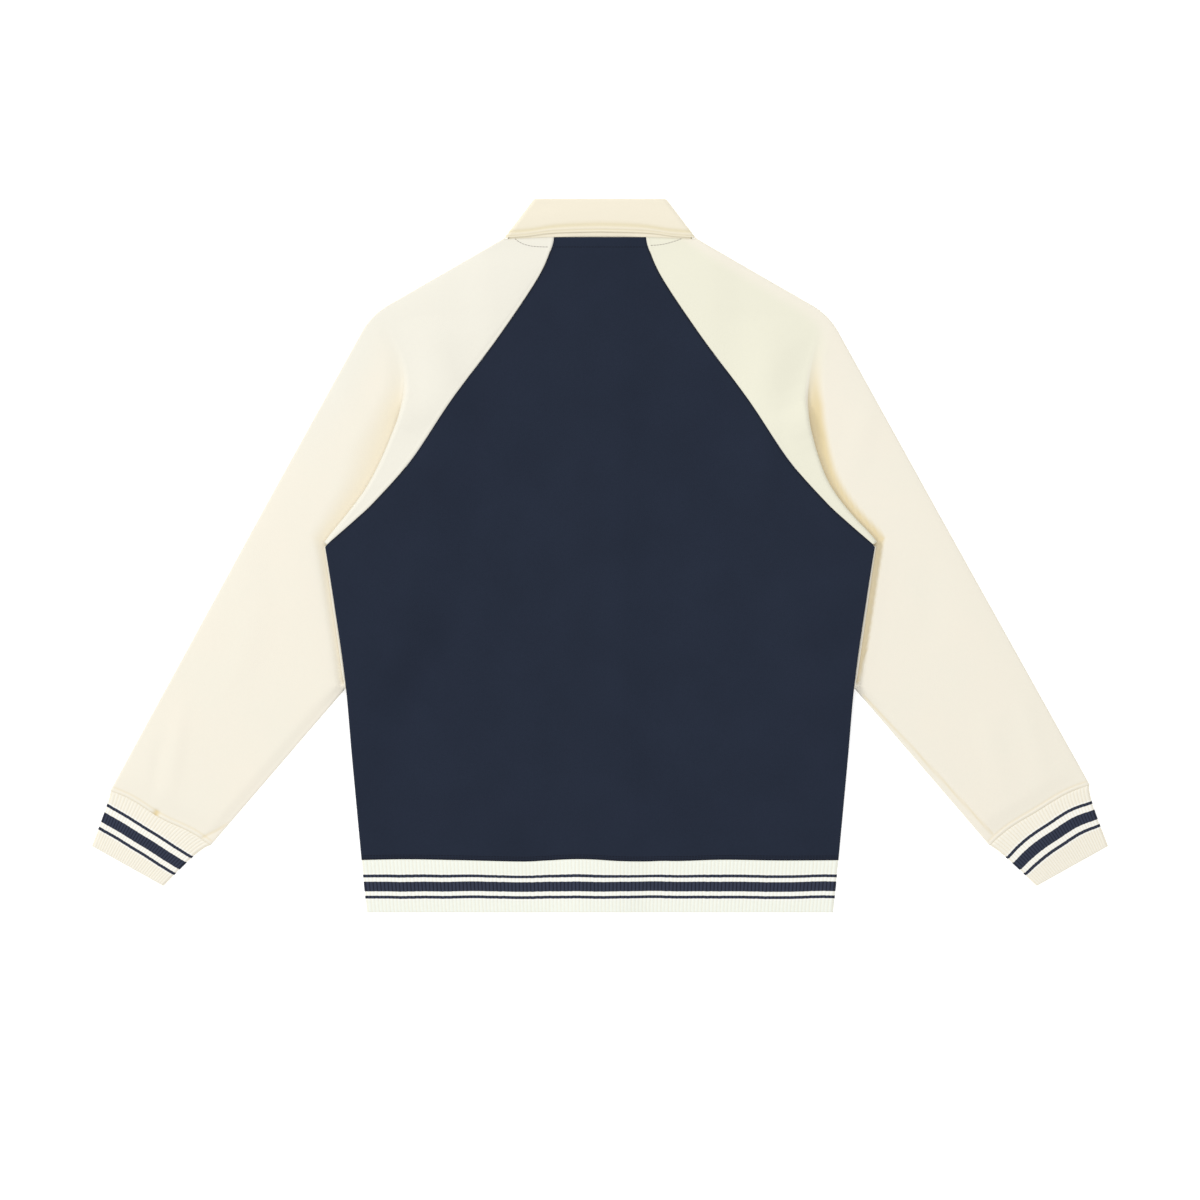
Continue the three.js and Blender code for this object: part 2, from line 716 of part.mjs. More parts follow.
// Half widths of a panel at its rows, which meet the sleeve's rows along the raglan seam
function panelRows(raglan, seamUps) {
  const sideUps = [HEM_SEAM + SEAM, ...SIDE_ROWS, ARMPIT_CORNER.below];
  const raglanUps = [ARMPIT_CORNER.above, ...seamUps.slice(1).reverse(), seamUps[0] - SEAM];
  return [
    ...sideUps.map((up) => ({ up, out: sideSeam(up), round: true })),
    ...raglanUps.map((up) => ({ up, out: raglan(up) - PANEL_INSET, round: false })),
  ];
}

function panelEdge(sign, row, level, layer) {
  const centre = row.out - EDGE_RADIUS;
  if (row.round) {
    const middle = level(sign * centre, row.up) - layer * HALF_PITCH;
    return sideRound(sign, row.out, row.up, middle, layer);
  }
  return RAGLAN_EDGE_STEPS.map((step) => {
    const x = sign * (row.out - step);
    return { place: new THREE.Vector3(x, row.up, level(x, row.up)), normal: UPWARDS };
  });
}

function makeBackPanel() {
  const rows = panelRows(backRaglan, RAGLAN_ROWS.map((row) => backSeamUp(row.along)));
  const shares = [...PANEL_COLUMNS.map((share) => -share).reverse(), 0, ...PANEL_COLUMNS];
  const faces = rows.map((row) => {
    const left = panelEdge(-1, row, LEVELS.back, 1).reverse();
    const right = panelEdge(1, row, LEVELS.back, 1);
    const reach = right[0].place.x;
    const middle = shares.map((share) => {
      const x = reach * share;
      return { place: new THREE.Vector3(x, row.up, LEVELS.back(x, row.up)), normal: UPWARDS };
    });
    return facesOf([...left, ...middle, ...right]);
  });
  const wall = wallBetween(faces.map((face) => face.outer), faces.map((face) => face.inner));
  return makeMesh("back_panel", wall, clothMaterial(COLOURS.navy));
}

// How far the neckline hangs below the raglan's end, from centre front to the end
function necklineDrop(up, share) {
  const drop = (FRONT_NECK.up - CENTRE_NECK) * ease(up, FRONT_EASE_FROM, FRONT_NECK.up);
  return drop * (1 - share * share);
}

// A front reaches from its side seam past the centre by the overlap. Its top row is the neckline.
function makeFront(name, sign, level) {
  const rows = panelRows(frontRaglan, RAGLAN_ROWS.map((row) => frontSeamUp(row.along)));
  const faces = rows.map((place) => {
    const side = panelEdge(sign, place, level, -1);
    const reach = sign * side[0].place.x;
    const places = [-OVERLAP, 0, ...PANEL_COLUMNS.map((share) => reach * share)];
    const across = places.map((out) => {
      const x = sign * out;
      const y = place.up - necklineDrop(place.up, Math.max(out, 0) / reach);
      return { place: new THREE.Vector3(x, y, level(x, y)), normal: UPWARDS };
    });
    const row = [...across, ...side];
    return facesOf(sign < 0 ? row.reverse() : row);
  });
  const wall = wallBetween(faces.map((face) => face.outer), faces.map((face) => face.inner));
  return makeMesh(name, wall, clothMaterial(COLOURS.navy));
}

// The hem band: from the outer front's edge round the back to the inner front's edge
function makeHemRib() {
  const rows = [HEM_SEAM - SEAM, HEM_EDGE].map((up) => {
    const out = sideSeam(up);
    const centre = out - EDGE_RADIUS;
    const flat = (x, level, raise, facing) => ({
      place: new THREE.Vector3(x, up, level(x, up)),
      normal: new THREE.Vector3(0, 0, facing),
      raise,
    });
    const round = (sign, reverse) => {
      const points = [];
      for (let k = 1; k < ROUND_STEPS; k += 1) {
        const angle = Math.PI / 2 - (k / ROUND_STEPS) * Math.PI;
        const normal = new THREE.Vector3(sign * Math.cos(angle), 0, Math.sin(angle));
        const place = new THREE.Vector3(sign * centre, up, MIDDLE_LEVEL);
        points.push({ place: place.add(normal.clone().multiplyScalar(HALF_PITCH)), normal });
      }
      return reverse ? points.reverse() : points;
    };
    const line = [];
    for (let k = 0; k <= HEM_FRONT_STEPS; k += 1) {
      const x = THREE.MathUtils.lerp(OVERLAP, -centre, k / HEM_FRONT_STEPS);
      line.push(flat(x, LEVELS.frontOuter, 0, -1));
    }
    line.push(...round(-1, true));
    const ridges = 2 * HEM_RIBS;
    for (let k = 0; k <= ridges; k += 1) {
      const x = centre * ((2 * k) / ridges - 1);
      line.push(flat(x, LEVELS.back, k % 2 === 1 ? RIB_HEIGHT : 0, 1));
    }
    line.push(...round(1, false));
    for (let k = 0; k <= HEM_FRONT_STEPS; k += 1) {
      const x = THREE.MathUtils.lerp(centre, -OVERLAP, k / HEM_FRONT_STEPS);
      line.push(flat(x, LEVELS.frontInner, 0, -1));
    }
    return facesOf(line);
  });
  const wall = wallBetween(rows.map((row) => row.outer), rows.map((row) => row.inner));
  return makeMesh("hem_rib", wall, clothMaterial(COLOURS.cream));
}

// Stations round the flattened collar: left centre front, left side, back, right side, centre front
function collarStations() {
  const stations = [];
  for (let k = COLLAR_FRONT_STEPS; k >= 1; k -= 1) {
    stations.push({ sign: -1, share: k / COLLAR_FRONT_STEPS, angle: -90 });
  }
  for (let k = 0; k <= COLLAR_SIDE_STEPS; k += 1) {
    stations.push({ sign: -1, share: 0, angle: -90 + (180 * k) / COLLAR_SIDE_STEPS });
  }
  for (let k = 1; k < COLLAR_BACK_STEPS; k += 1) {
    stations.push({ sign: 0, share: (2 * k) / COLLAR_BACK_STEPS - 1, angle: 90 });
  }
  for (let k = COLLAR_SIDE_STEPS; k >= 0; k -= 1) {
    stations.push({ sign: 1, share: 0, angle: -90 + (180 * k) / COLLAR_SIDE_STEPS });
  }
  for (let k = 1; k <= COLLAR_FRONT_STEPS; k += 1) {
    stations.push({ sign: 1, share: k / COLLAR_FRONT_STEPS, angle: -90 });
  }
  return stations;
}

// Plan places of the neck seam, the fold and the fall's edge at a station
function collarPlan(station) {
  if (station.sign === 0) {
    const edgeUp = readTable(COLLAR_BACK_EDGE, "share", Math.abs(station.share), "up");
    return {
      seam: new THREE.Vector2(COLLAR_BACK.seamOut * station.share, BACK_NECK + SEAM),
      fold: new THREE.Vector2(COLLAR_BACK.foldOut * station.share, COLLAR_TOP),
      edge: new THREE.Vector2(COLLAR_BACK.edgeOut * station.share, edgeUp),
    };
  }
  const read = (rows) => {
    const out = readTable(rows, "share", station.share, "out");
    const up = readTable(rows, "share", station.share, "up");
    return new THREE.Vector2(station.sign * out, up);
  };
  return {
    seam: read(COLLAR_FRONT_SEAM),
    fold: read(COLLAR_FRONT_FOLD),
    edge: read(COLLAR_FRONT_EDGE),
  };
}

// A point of the collar: a place in plan, moved out from the ring's middle by a level
function collarPoint(plan, station, level) {
  const angle = THREE.MathUtils.degToRad(station.angle);
  const aside = station.sign * Math.cos(angle) * level;
  return new THREE.Vector3(plan.x + aside, plan.y, COLLAR_LEVEL + Math.sin(angle) * level);
}

// Room for the rounded sides of the collar, which fades towards the centre of back and front
function inwardShift(plan, station) {
  const share = station.sign === 0 ? station.share : station.sign * (1 - station.share);
  return new THREE.Vector2(plan.x - share * (FALL_LEVEL + HALF_CLOTH), plan.y);
}

function makeCollarStand() {
  const stations = collarStations();
  const faces = STAND_ROWS.map((share) => {
    const point = (station, shift) => {
      const { seam, fold } = collarPlan(station);
      const top = fold.clone().lerp(seam, STAND_STOPS_SHORT);
      const plan = inwardShift(seam.clone().lerp(top, share), station);
      return collarPoint(plan, station, STAND_LEVEL + shift);
    };
    return {
      outer: stations.map((station) => point(station, HALF_CLOTH)),
      inner: stations.map((station) => point(station, -HALF_CLOTH)),
    };
  });
  const wall = wallBetween(faces.map((face) => face.outer), faces.map((face) => face.inner));
  return makeMesh("collar_stand", wall, clothMaterial(COLOURS.cream));
}

// The fall hangs outside the stand from the fold, which turns in over the stand's top edge
function makeCollarFall() {
  const stations = collarStations();
  const rows = FALL_ROWS.map((share) => ({ share, turn: 0 }));
  for (let k = 1; k <= FALL_TURN_STEPS; k += 1) {
    rows.push({ share: 1, turn: (FALL_TURN * k) / FALL_TURN_STEPS });
  }
  const faces = rows.map((row) => {
    const turn = THREE.MathUtils.degToRad(row.turn);
    const point = (station, shift) => {
      const { edge, fold, seam } = collarPlan(station);
      const slope = fold.clone().sub(seam).normalize();
      const below = fold.clone().sub(slope.clone().multiplyScalar(EDGE_RADIUS));
      const plan = edge.clone().lerp(below, row.share);
      const radius = HALF_PITCH + shift;
      plan.add(slope.multiplyScalar(radius * Math.sin(turn)));
      const level = FALL_LEVEL - HALF_PITCH + radius * Math.cos(turn);
      return collarPoint(inwardShift(plan, station), station, level);
    };
    return {
      outer: stations.map((station) => point(station, HALF_CLOTH)),
      inner: stations.map((station) => point(station, -HALF_CLOTH)),
    };
  });
  const wall = wallBetween(faces.map((face) => face.outer), faces.map((face) => face.inner));
  return makeMesh("collar_fall", wall, clothMaterial(COLOURS.cream));
}

function makeSnap(number) {
  const cap = new THREE.CylinderGeometry(SNAP_RADIUS, SNAP_RADIUS, SNAP_HEIGHT, SNAP_SIDES);
  cap.rotateX(Math.PI / 2);
  const snap = makeMesh(`snap_${number + 1}`, cap, snapMaterial());
  const spacing = (SNAP_TOP - SNAP_BOTTOM) / (SNAP_COUNT - 1);
  snap.position.set(0, SNAP_BOTTOM + spacing * number, SNAP_HEIGHT / 2);
  return snap;
}

const jacket = new THREE.Group();
jacket.add(makeBackPanel());
jacket.add(makeFront("front_left", -1, LEVELS.frontOuter));
jacket.add(makeFront("front_right", 1, LEVELS.frontInner));
jacket.add(makeSleeve("sleeve_left", SIDES.left));
jacket.add(makeSleeve("sleeve_right", SIDES.right));
jacket.add(makeCuff("cuff_left", SIDES.left));
jacket.add(makeCuff("cuff_right", SIDES.right));
jacket.add(makeHemRib());
jacket.add(makeCollarStand());
jacket.add(makeCollarFall());
for (let number = 0; number < SNAP_COUNT; number += 1) jacket.add(makeSnap(number));

export default jacket;
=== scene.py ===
# %% [markdown]
# # A varsity jacket laid flat, back up
# This lesson dresses the imported solids of a raglan jacket as cloth. Every piece that a maker cuts is
# one thin shell, worked out with numpy in the place of its own solid: back, two fronts, two sleeves,
# two cuffs, hem and the two pieces of the collar. The first cell loads the fixed frame. The cloth has
# to stay inside it.

# %% Load the frame
import json
import math

import bpy
import numpy as np
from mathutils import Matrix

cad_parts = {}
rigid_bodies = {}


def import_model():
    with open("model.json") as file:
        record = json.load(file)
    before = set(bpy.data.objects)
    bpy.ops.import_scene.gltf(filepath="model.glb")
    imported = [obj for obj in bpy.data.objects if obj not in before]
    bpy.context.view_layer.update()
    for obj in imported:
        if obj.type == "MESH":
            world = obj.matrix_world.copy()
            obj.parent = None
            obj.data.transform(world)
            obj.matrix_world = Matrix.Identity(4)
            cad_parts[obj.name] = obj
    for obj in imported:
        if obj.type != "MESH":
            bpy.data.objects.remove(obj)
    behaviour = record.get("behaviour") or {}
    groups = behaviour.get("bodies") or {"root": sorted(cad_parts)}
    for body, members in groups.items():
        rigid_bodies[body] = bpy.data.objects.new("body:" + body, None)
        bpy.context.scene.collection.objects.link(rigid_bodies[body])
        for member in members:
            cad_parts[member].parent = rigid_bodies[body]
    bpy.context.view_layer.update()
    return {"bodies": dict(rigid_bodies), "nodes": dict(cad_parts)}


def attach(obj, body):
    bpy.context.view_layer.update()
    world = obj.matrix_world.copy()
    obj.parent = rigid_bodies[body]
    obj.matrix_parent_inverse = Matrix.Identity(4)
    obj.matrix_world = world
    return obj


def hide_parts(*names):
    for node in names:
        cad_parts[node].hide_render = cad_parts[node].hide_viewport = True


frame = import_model()
print("nodes:", sorted(frame["nodes"]))

# %% [markdown]
# ## Sizes
# Everything is worked out in millimetres and turned to metres when a mesh is made. +X runs to the
# right of the back view, +Y from hem to collar and +Z up. The cloth lies in layers: the fronts on
# the floor, the back on them, and each arm's tuck between the two, so most heights are steps of one
# cloth and one gap.

# %% Cloth, layers and the driving heights of the jacket
MM = 0.001
CLOTH = 1.8
GAP = 0.3
PITCH = CLOTH + GAP
HALF_CLOTH = CLOTH / 2
HALF_PITCH = PITCH / 2
OUTER_RADIUS = HALF_PITCH + HALF_CLOTH
INNER_RADIUS = HALF_PITCH - HALF_CLOTH
FRONT_LEVEL = HALF_CLOTH
BACK_LEVEL = FRONT_LEVEL + PITCH
MIDDLE_LEVEL = FRONT_LEVEL + HALF_PITCH
SEAM = 0.04

HEM_EDGE = -374.8
HEM_SEAM = -319.7
ARMPIT = np.array([288.8, 10.0])
BACK_NECK = 334.4
FRONT_NECK = 262.0
CENTRE_NECK = 245.0
COLLAR_TOP = 374.6
OVERLAP = 14.0
print("one layer is", CLOTH, "mm thick and layers are", PITCH, "mm apart")

# %% [markdown]
# ## Outlines as short tables
# A maker's pattern piece is a few measured points joined by a smooth line. The same is done here: a
# table holds the height and the distance from the centre line, and a Catmull-Rom spline joins its
# rows. The spline is sampled once, and np.interp reads it for whole arrays of heights.

# %% Read an outline table as a smooth line
def spline_through(points, samples=24):
    """Catmull-Rom: between two rows a cubic whose slope at each row is half the step from the row
    before to the row after. The ends repeat their last row."""
    points = np.asarray(points, float)
    padded = np.vstack([points[:1], points, points[-1:]])
    t = np.linspace(0, 1, samples, endpoint=False)[None, :, None]
    p0, p1, p2, p3 = (padded[k:len(padded) - 3 + k][:, None] for k in range(4))
    slope_in = (p2 - p0) / 2
    slope_out = (p3 - p1) / 2
    cubic = (2 * p1 - 2 * p2 + slope_in + slope_out) * t ** 3
    square = (3 * p2 - 3 * p1 - 2 * slope_in - slope_out) * t ** 2
    line = (cubic + square + slope_in * t + p1).reshape(-1, points.shape[1])
    return np.vstack([line, points[-1:]])


def smooth_reading(table, key, value):
    """Value as a function of key, read off the spline through the table's rows."""
    line = spline_through([(row[key], row[value]) for row in table])
    return lambda place: np.interp(place, line[:, 0], line[:, 1])


def ease(value, low, high):
    """Three t squared minus two t cubed, with t going from 0 at low to 1 at high."""
    t = np.clip((value - low) / (high - low), 0, 1)
    return t * t * (3 - 2 * t)


def mix(a, b, share):
    """a at share 0 and b at share 1, in a straight line."""
    return a + (b - a) * share


def unit(vectors):
    """Vectors divided by their lengths."""
    return vectors / np.maximum(np.linalg.norm(vectors, axis=-1, keepdims=True), 1e-9)


SIDE_SEAM = [
    {"up": -380, "out": 244.4}, {"up": -319.7, "out": 250.4}, {"up": -214.7, "out": 260.2},
    {"up": -130.7, "out": 267.8}, {"up": -46.7, "out": 279.8}, {"up": 10, "out": 288.8},
]
BACK_RAGLAN = [
    {"up": 10, "out": 288.8}, {"up": 37.3, "out": 257.3}, {"up": 58.3, "out": 235.2},
    {"up": 100.3, "out": 198.5}, {"up": 163.3, "out": 156.5}, {"up": 226.3, "out": 109.2},
    {"up": 289.3, "out": 66.7}, {"up": 322, "out": 51.5}, {"up": 334.4, "out": 48.7},
]
FRONT_RAGLAN = [
    {"up": 10, "out": 288.8}, {"up": 37.3, "out": 257.3}, {"up": 58.3, "out": 235.2},
    {"up": 100.3, "out": 198.5}, {"up": 163.3, "out": 156.5}, {"up": 201.4, "out": 127.9},
    {"up": 232, "out": 103}, {"up": 262, "out": 78},
]
side_seam = smooth_reading(SIDE_SEAM, "up", "out")
back_raglan = smooth_reading(BACK_RAGLAN, "up", "out")
front_raglan = smooth_reading(FRONT_RAGLAN, "up", "out")
print("chest, armpit to armpit:", 2 * side_seam(10.0), "mm")

# %% [markdown]
# ## How the layers lift each other
# The arms are folded in a little under the body, so the body's sides ride up over them. The collar
# and the snapped overlap at the centre front lift the cloth above them too. Each lift is a smooth
# height over the plan, and a layer's height is the sum of what lies under it. Simulated cloth would
# sag the same way, but a formula keeps every layer clear of the next.

# %% Heights of the layers over the plan
TUCK_LIFT = [
    {"up": -400, "lift": 0}, {"up": -265, "lift": 0}, {"up": -235, "lift": 0.6},
    {"up": -205, "lift": 2.4}, {"up": -180, "lift": 4.8}, {"up": -158, "lift": 7.4},
    {"up": -143, "lift": 8.8}, {"up": -128, "lift": 9.3}, {"up": -112, "lift": 9.0},
    {"up": -95, "lift": 8.7}, {"up": 135, "lift": 8.7}, {"up": 160, "lift": 8.8},
    {"up": 185, "lift": 7.6}, {"up": 210, "lift": 5.2}, {"up": 235, "lift": 3.0},
    {"up": 260, "lift": 1.2}, {"up": 290, "lift": 0.2}, {"up": 310, "lift": 0}, {"up": 400, "lift": 0},
]
LIFT_SHOULDER = [
    {"up": -400, "out": 258}, {"up": -205, "out": 257}, {"up": -170, "out": 251},
    {"up": -135, "out": 238}, {"up": -100, "out": 221}, {"up": -60, "out": 208}, {"up": -15, "out": 200},
    {"up": 20, "out": 191}, {"up": 60, "out": 183}, {"up": 148, "out": 187},
    {"up": 250, "out": 186}, {"up": 400, "out": 186},
]
LIFT_FALL = 62
COLLAR_REST = {"out": 113, "up": 204, "fall": 40}
SNAP_ROOM = 1.5
lift_shoulder = smooth_reading(LIFT_SHOULDER, "up", "out")
tuck_height = smooth_reading(TUCK_LIFT, "up", "lift")


def tuck_lift(x, y):
    """Table height at y, times an ease across the last LIFT_FALL before the shoulder line."""
    shoulder = lift_shoulder(y)
    return tuck_height(y) * ease(np.abs(x), shoulder - LIFT_FALL, shoulder)


def collar_lift(x, y):
    """One layer over the collar's fronts, eased to nothing over the fall distance round them."""
    aside = np.maximum(np.abs(x) - COLLAR_REST["out"], 0)
    below = np.maximum(COLLAR_REST["up"] - y, 0)
    return PITCH * (1 - ease(np.hypot(aside, below), 0, COLLAR_REST["fall"]))


def snap_lift(x, y):
    """The room of a snap cap under the centre, eased away to both sides and towards the neck."""
    return SNAP_ROOM * (1 - ease(np.abs(x), 17, 55)) * (1 - ease(y, 190, 225))


def overlap_lift(x):
    """One layer more where the fronts overlap."""
    return PITCH * (1 - ease(np.abs(x), 17, 55))


def outer_front_height(x, y):
    return FRONT_LEVEL + tuck_lift(x, y) + collar_lift(x, y) + snap_lift(x, y)


def inner_front_height(x, y):
    return outer_front_height(x, y) + overlap_lift(x)


def back_height(x, y):
    return outer_front_height(x, y) + overlap_lift(x) + PITCH


print("height of the back over the arm tuck:", round(float(back_height(250.0, 0.0)), 2), "mm")

# %% [markdown]
# ## Shells as closed walls
# Cloth has two faces. Every piece here is a grid of points for the outer face and a second grid for
# the inner face, with rims that close the wall. Solidify could thicken one sheet, but in the tight
# folds of the arm it would cross itself, so both faces are worked out. A sleeve is open along its
# raglan seam and closed below the armpit, so the last column joins the first from a given row on.

# %% Turn two grids of points into one closed piece of cloth
def wall_piece(name, outer, inner, closed_from=None, pattern=None, marks=None):
    """Quads join neighbouring grid points on both faces, and rims join the faces along the borders.
    The pattern holds each point's place in the flat cut, in metres, and becomes the UV map."""
    rows, columns = outer.shape[:2]
    first_closed = rows if closed_from is None else closed_from
    grid = np.arange(rows * columns).reshape(rows, columns)
    both = [grid, grid + rows * columns]

    def quads(a, b, c, d):
        return np.stack([a, b, c, d], axis=-1).reshape(-1, 4)

    top, under = both
    faces = [
        quads(top[:-1, :-1], top[:-1, 1:], top[1:, 1:], top[1:, :-1]),
        quads(under[:-1, :-1], under[1:, :-1], under[1:, 1:], under[:-1, 1:]),
    ]
    rims = [
        quads(top[0, :-1], under[0, :-1], under[0, 1:], top[0, 1:]),
        quads(top[-1, :-1], top[-1, 1:], under[-1, 1:], under[-1, :-1]),
    ]
    open_rows = min(first_closed, rows - 1)
    a, b = np.arange(open_rows), np.arange(open_rows) + 1
    rims.append(quads(top[a, 0], top[b, 0], under[b, 0], under[a, 0]))
    rims.append(quads(top[a, -1], under[a, -1], under[b, -1], top[b, -1]))
    corners = np.vstack(faces + rims)
    smooth_faces = len(faces[0]) + len(faces[1])

    points = np.concatenate([outer.reshape(-1, 3), inner.reshape(-1, 3)]) * MM
    joined = np.arange(2 * rows * columns)
    for face in both:
        joined[face[first_closed:, -1]] = face[first_closed:, 0]
    kept, vertex = np.unique(joined[corners], return_inverse=True)
    vertex = vertex.reshape(-1, 4)
    places = points[kept]

    quad = places[vertex]
    volume = np.einsum("ij,ij->i", quad[:, 0], np.cross(quad[:, 1], quad[:, 2])).sum()
    volume += np.einsum("ij,ij->i", quad[:, 0], np.cross(quad[:, 2], quad[:, 3])).sum()
    if volume < 0:
        vertex = vertex[:, ::-1]
        corners = corners[:, ::-1]

    mesh = bpy.data.meshes.new(name)
    mesh.vertices.add(len(places))
    mesh.vertices.foreach_set("co", places.astype(np.float32).ravel())
    mesh.loops.add(vertex.size)
    mesh.loops.foreach_set("vertex_index", vertex.ravel().astype(np.int32))
    mesh.polygons.add(len(vertex))
    mesh.polygons.foreach_set("loop_start", np.arange(0, vertex.size, 4, dtype=np.int32))
    mesh.polygons.foreach_set("use_smooth", np.arange(len(vertex)) < smooth_faces)
    if pattern is not None:
        layer = mesh.uv_layers.new(name="cut")
        flat = np.tile(pattern.reshape(-1, 2), (2, 1))[corners]
        layer.data.foreach_set("uv", flat.astype(np.float32).ravel())
    for mark, values in (marks or {}).items():
        attribute = mesh.attributes.new(mark, "FLOAT", "POINT")
        both_faces = np.tile(np.asarray(values, float).ravel(), 2)[kept]
        attribute.data.foreach_set("value", both_faces.astype(np.float32))
    mesh.update(calc_edges=True)
    mesh.validate()
    piece = bpy.data.objects.new(name, mesh)
    bpy.context.scene.collection.objects.link(piece)
    print(f"{name}: {len(mesh.polygons)} quads, {abs(volume) / 6 * 1e6:.1f} cm3")
    return piece


def faces_from(places, normals, raised=0.0):
    """Outer face half a cloth along the normal, inner face half a cloth against it."""
    raised = np.asarray(raised, float)[..., None] if np.ndim(raised) else raised
    outer = places + normals * (HALF_CLOTH + raised)
    inner = places - normals * HALF_CLOTH
    return outer, inner


# %% [markdown]
# ## Creases and seams
# A crease in heavy jersey is a soft trough or ridge a few millimetres wide that fades out at both
# ends. Each one is given as a short line on the plan, with its own width and height. The
# cloth's height then follows a bell curve of the distance to the line. A seam is the same thing,
# only narrow: both pieces roll down into it.

# %% Soft ridges and troughs along lines on the plan
def distance_to_line(x, y, line):
    """Smallest distance from each point to the straight stretches of a line, how far along the line
    the nearest point lies, the line's length, and 1 or -1 for the point's side of the line."""
    line = np.asarray(line, float)
    nearest = np.full(np.shape(x), 1e9)
    walked_there = np.zeros(np.shape(x))
    side_there = np.ones(np.shape(x))
    walked = 0.0
    for start, end in zip(line[:-1], line[1:]):
        step = end - start
        length = np.hypot(*step)
        share = np.clip(((x - start[0]) * step[0] + (y - start[1]) * step[1]) / length ** 2, 0, 1)
        away = np.hypot(x - start[0] - share * step[0], y - start[1] - share * step[1])
        closer = away < nearest
        nearest = np.where(closer, away, nearest)
        walked_there = np.where(closer, walked + share * length, walked_there)
        side = np.where(step[0] * (y - start[1]) - step[1] * (x - start[0]) < 0, -1.0, 1.0)
        side_there = np.where(closer, side, side_there)
        walked += length
    return nearest, walked_there, walked, side_there


def crease_height(x, y, creases):
    """Sum of bell curves across the creases' lines, each one swelling from nothing at its ends to
    its full height in the middle. Heights below nothing are troughs."""
    total = np.zeros(np.shape(x))
    for crease in creases:
        line = spline_through(crease["line"], 5)
        away, walked, length, _ = distance_to_line(x, y, line)
        swell = np.sin(np.pi * np.clip(walked / length, 0.02, 0.98)) ** 0.7
        total += crease["height"] * swell * np.exp(-((away / crease["width"]) ** 2))
    return total


def seam_roll(distance, depth=0.6, width=1.5):
    """How far cloth rolls down into a seam: depth times a bell curve of the distance to it."""
    return -depth * np.exp(-((distance / width) ** 2))


def unevenness(x, y, size=1.0):
    """Slow low waves that keep a big panel from being a machined plane."""
    long_wave = np.sin(x / 61 + 0.7) * np.cos(y / 83 - 0.4)
    short_wave = np.sin(x / 27 + y / 39) * np.cos(y / 33 - x / 71 + 1.1)
    return size * (0.35 * long_wave + 0.16 * short_wave)


# %% [markdown]
# ## Cloth finishes
# Heavy cotton jersey is matt, with a fine knit and a faint mottled tone, and it gives a little light
# back at grazing angles. The knit is two crossed sine bands about a millimetre apart in object
# coordinates, driven into a bump, with noise over it. Topstitching is drawn on a mark that each
# point carries: its distance from the row of stitches. Between two points that distance changes
# evenly, so a thin row stays sharp on a coarse grid.

# %% Helpers that build node materials
def from_screen(red, green, blue):
    """Screen values from 0 to 255 turned into linear light."""
    values = np.array([red, green, blue]) / 255
    low = values / 12.92
    high = ((values + 0.055) / 1.055) ** 2.4
    return (*np.where(values <= 0.04045, low, high).tolist(), 1.0)


def add_node(tree, kind, inputs=None, **settings):
    """A node with its settings, whose inputs are constants or other nodes' outputs."""
    made = tree.nodes.new(kind)
    for name, value in settings.items():
        setattr(made, name, value)
    for name, value in (inputs or {}).items():
        if isinstance(value, bpy.types.NodeSocket):
            tree.links.new(value, made.inputs[name])
        else:
            made.inputs[name].default_value = value
    return made


def math_node(tree, operation, first, second=0.0, clamp=False):
    made = add_node(tree, "ShaderNodeMath", {0: first, 1: second}, operation=operation)
    made.use_clamp = clamp
    return made.outputs[0]


def mix_colours(tree, share, first, second, blend="MIX"):
    made = add_node(tree, "ShaderNodeMix", data_type="RGBA", blend_type=blend)
    for name, value in ((0, share), (6, first), (7, second)):
        if isinstance(value, bpy.types.NodeSocket):
            tree.links.new(value, made.inputs[name])
        else:
            made.inputs[name].default_value = value
    return made.outputs[2]


def noise(tree, vector, scale, detail=2.0, rough=0.5):
    made = add_node(tree, "ShaderNodeTexNoise", {"Vector": vector, "Scale": scale})
    made.inputs["Detail"].default_value = detail
    made.inputs["Roughness"].default_value = rough
    return made.outputs["Fac"]


def mark_value(tree, name):
    return add_node(tree, "ShaderNodeAttribute", attribute_name=name).outputs["Fac"]


def start_material(name, roughness, sheen):
    """An empty material with its shader and output, whose constant values sit on the shader."""
    material = bpy.data.materials.new(name)
    material.use_nodes = True
    tree = material.node_tree
    tree.nodes.clear()
    output = add_node(tree, "ShaderNodeOutputMaterial")
    shader = add_node(tree, "ShaderNodeBsdfPrincipled")
    shader.inputs["Roughness"].default_value = roughness
    shader.inputs["Specular IOR Level"].default_value = 0.15
    shader.inputs["Sheen Weight"].default_value = sheen
    shader.inputs["Sheen Roughness"].default_value = 0.5
    tree.links.new(shader.outputs[0], output.inputs[0])
    return material, tree, shader


def knit_height(tree, place, pitch):
    """Two crossed bands of a knit, one across and one along, plus fibre noise."""
    split = add_node(tree, "ShaderNodeSeparateXYZ", {0: place})
    across = math_node(tree, "SINE", math_node(tree, "MULTIPLY", split.outputs[0], 2 * math.pi / pitch))
    along = math_node(tree, "SINE", math_node(tree, "MULTIPLY", split.outputs[1], 2 * math.pi / pitch))
    bands = math_node(tree, "MULTIPLY", across, along)
    fibres = noise(tree, place, 0.9 / pitch, 3.0, 0.6)
    return math_node(tree, "ADD", math_node(tree, "MULTIPLY", bands, 0.25), fibres)


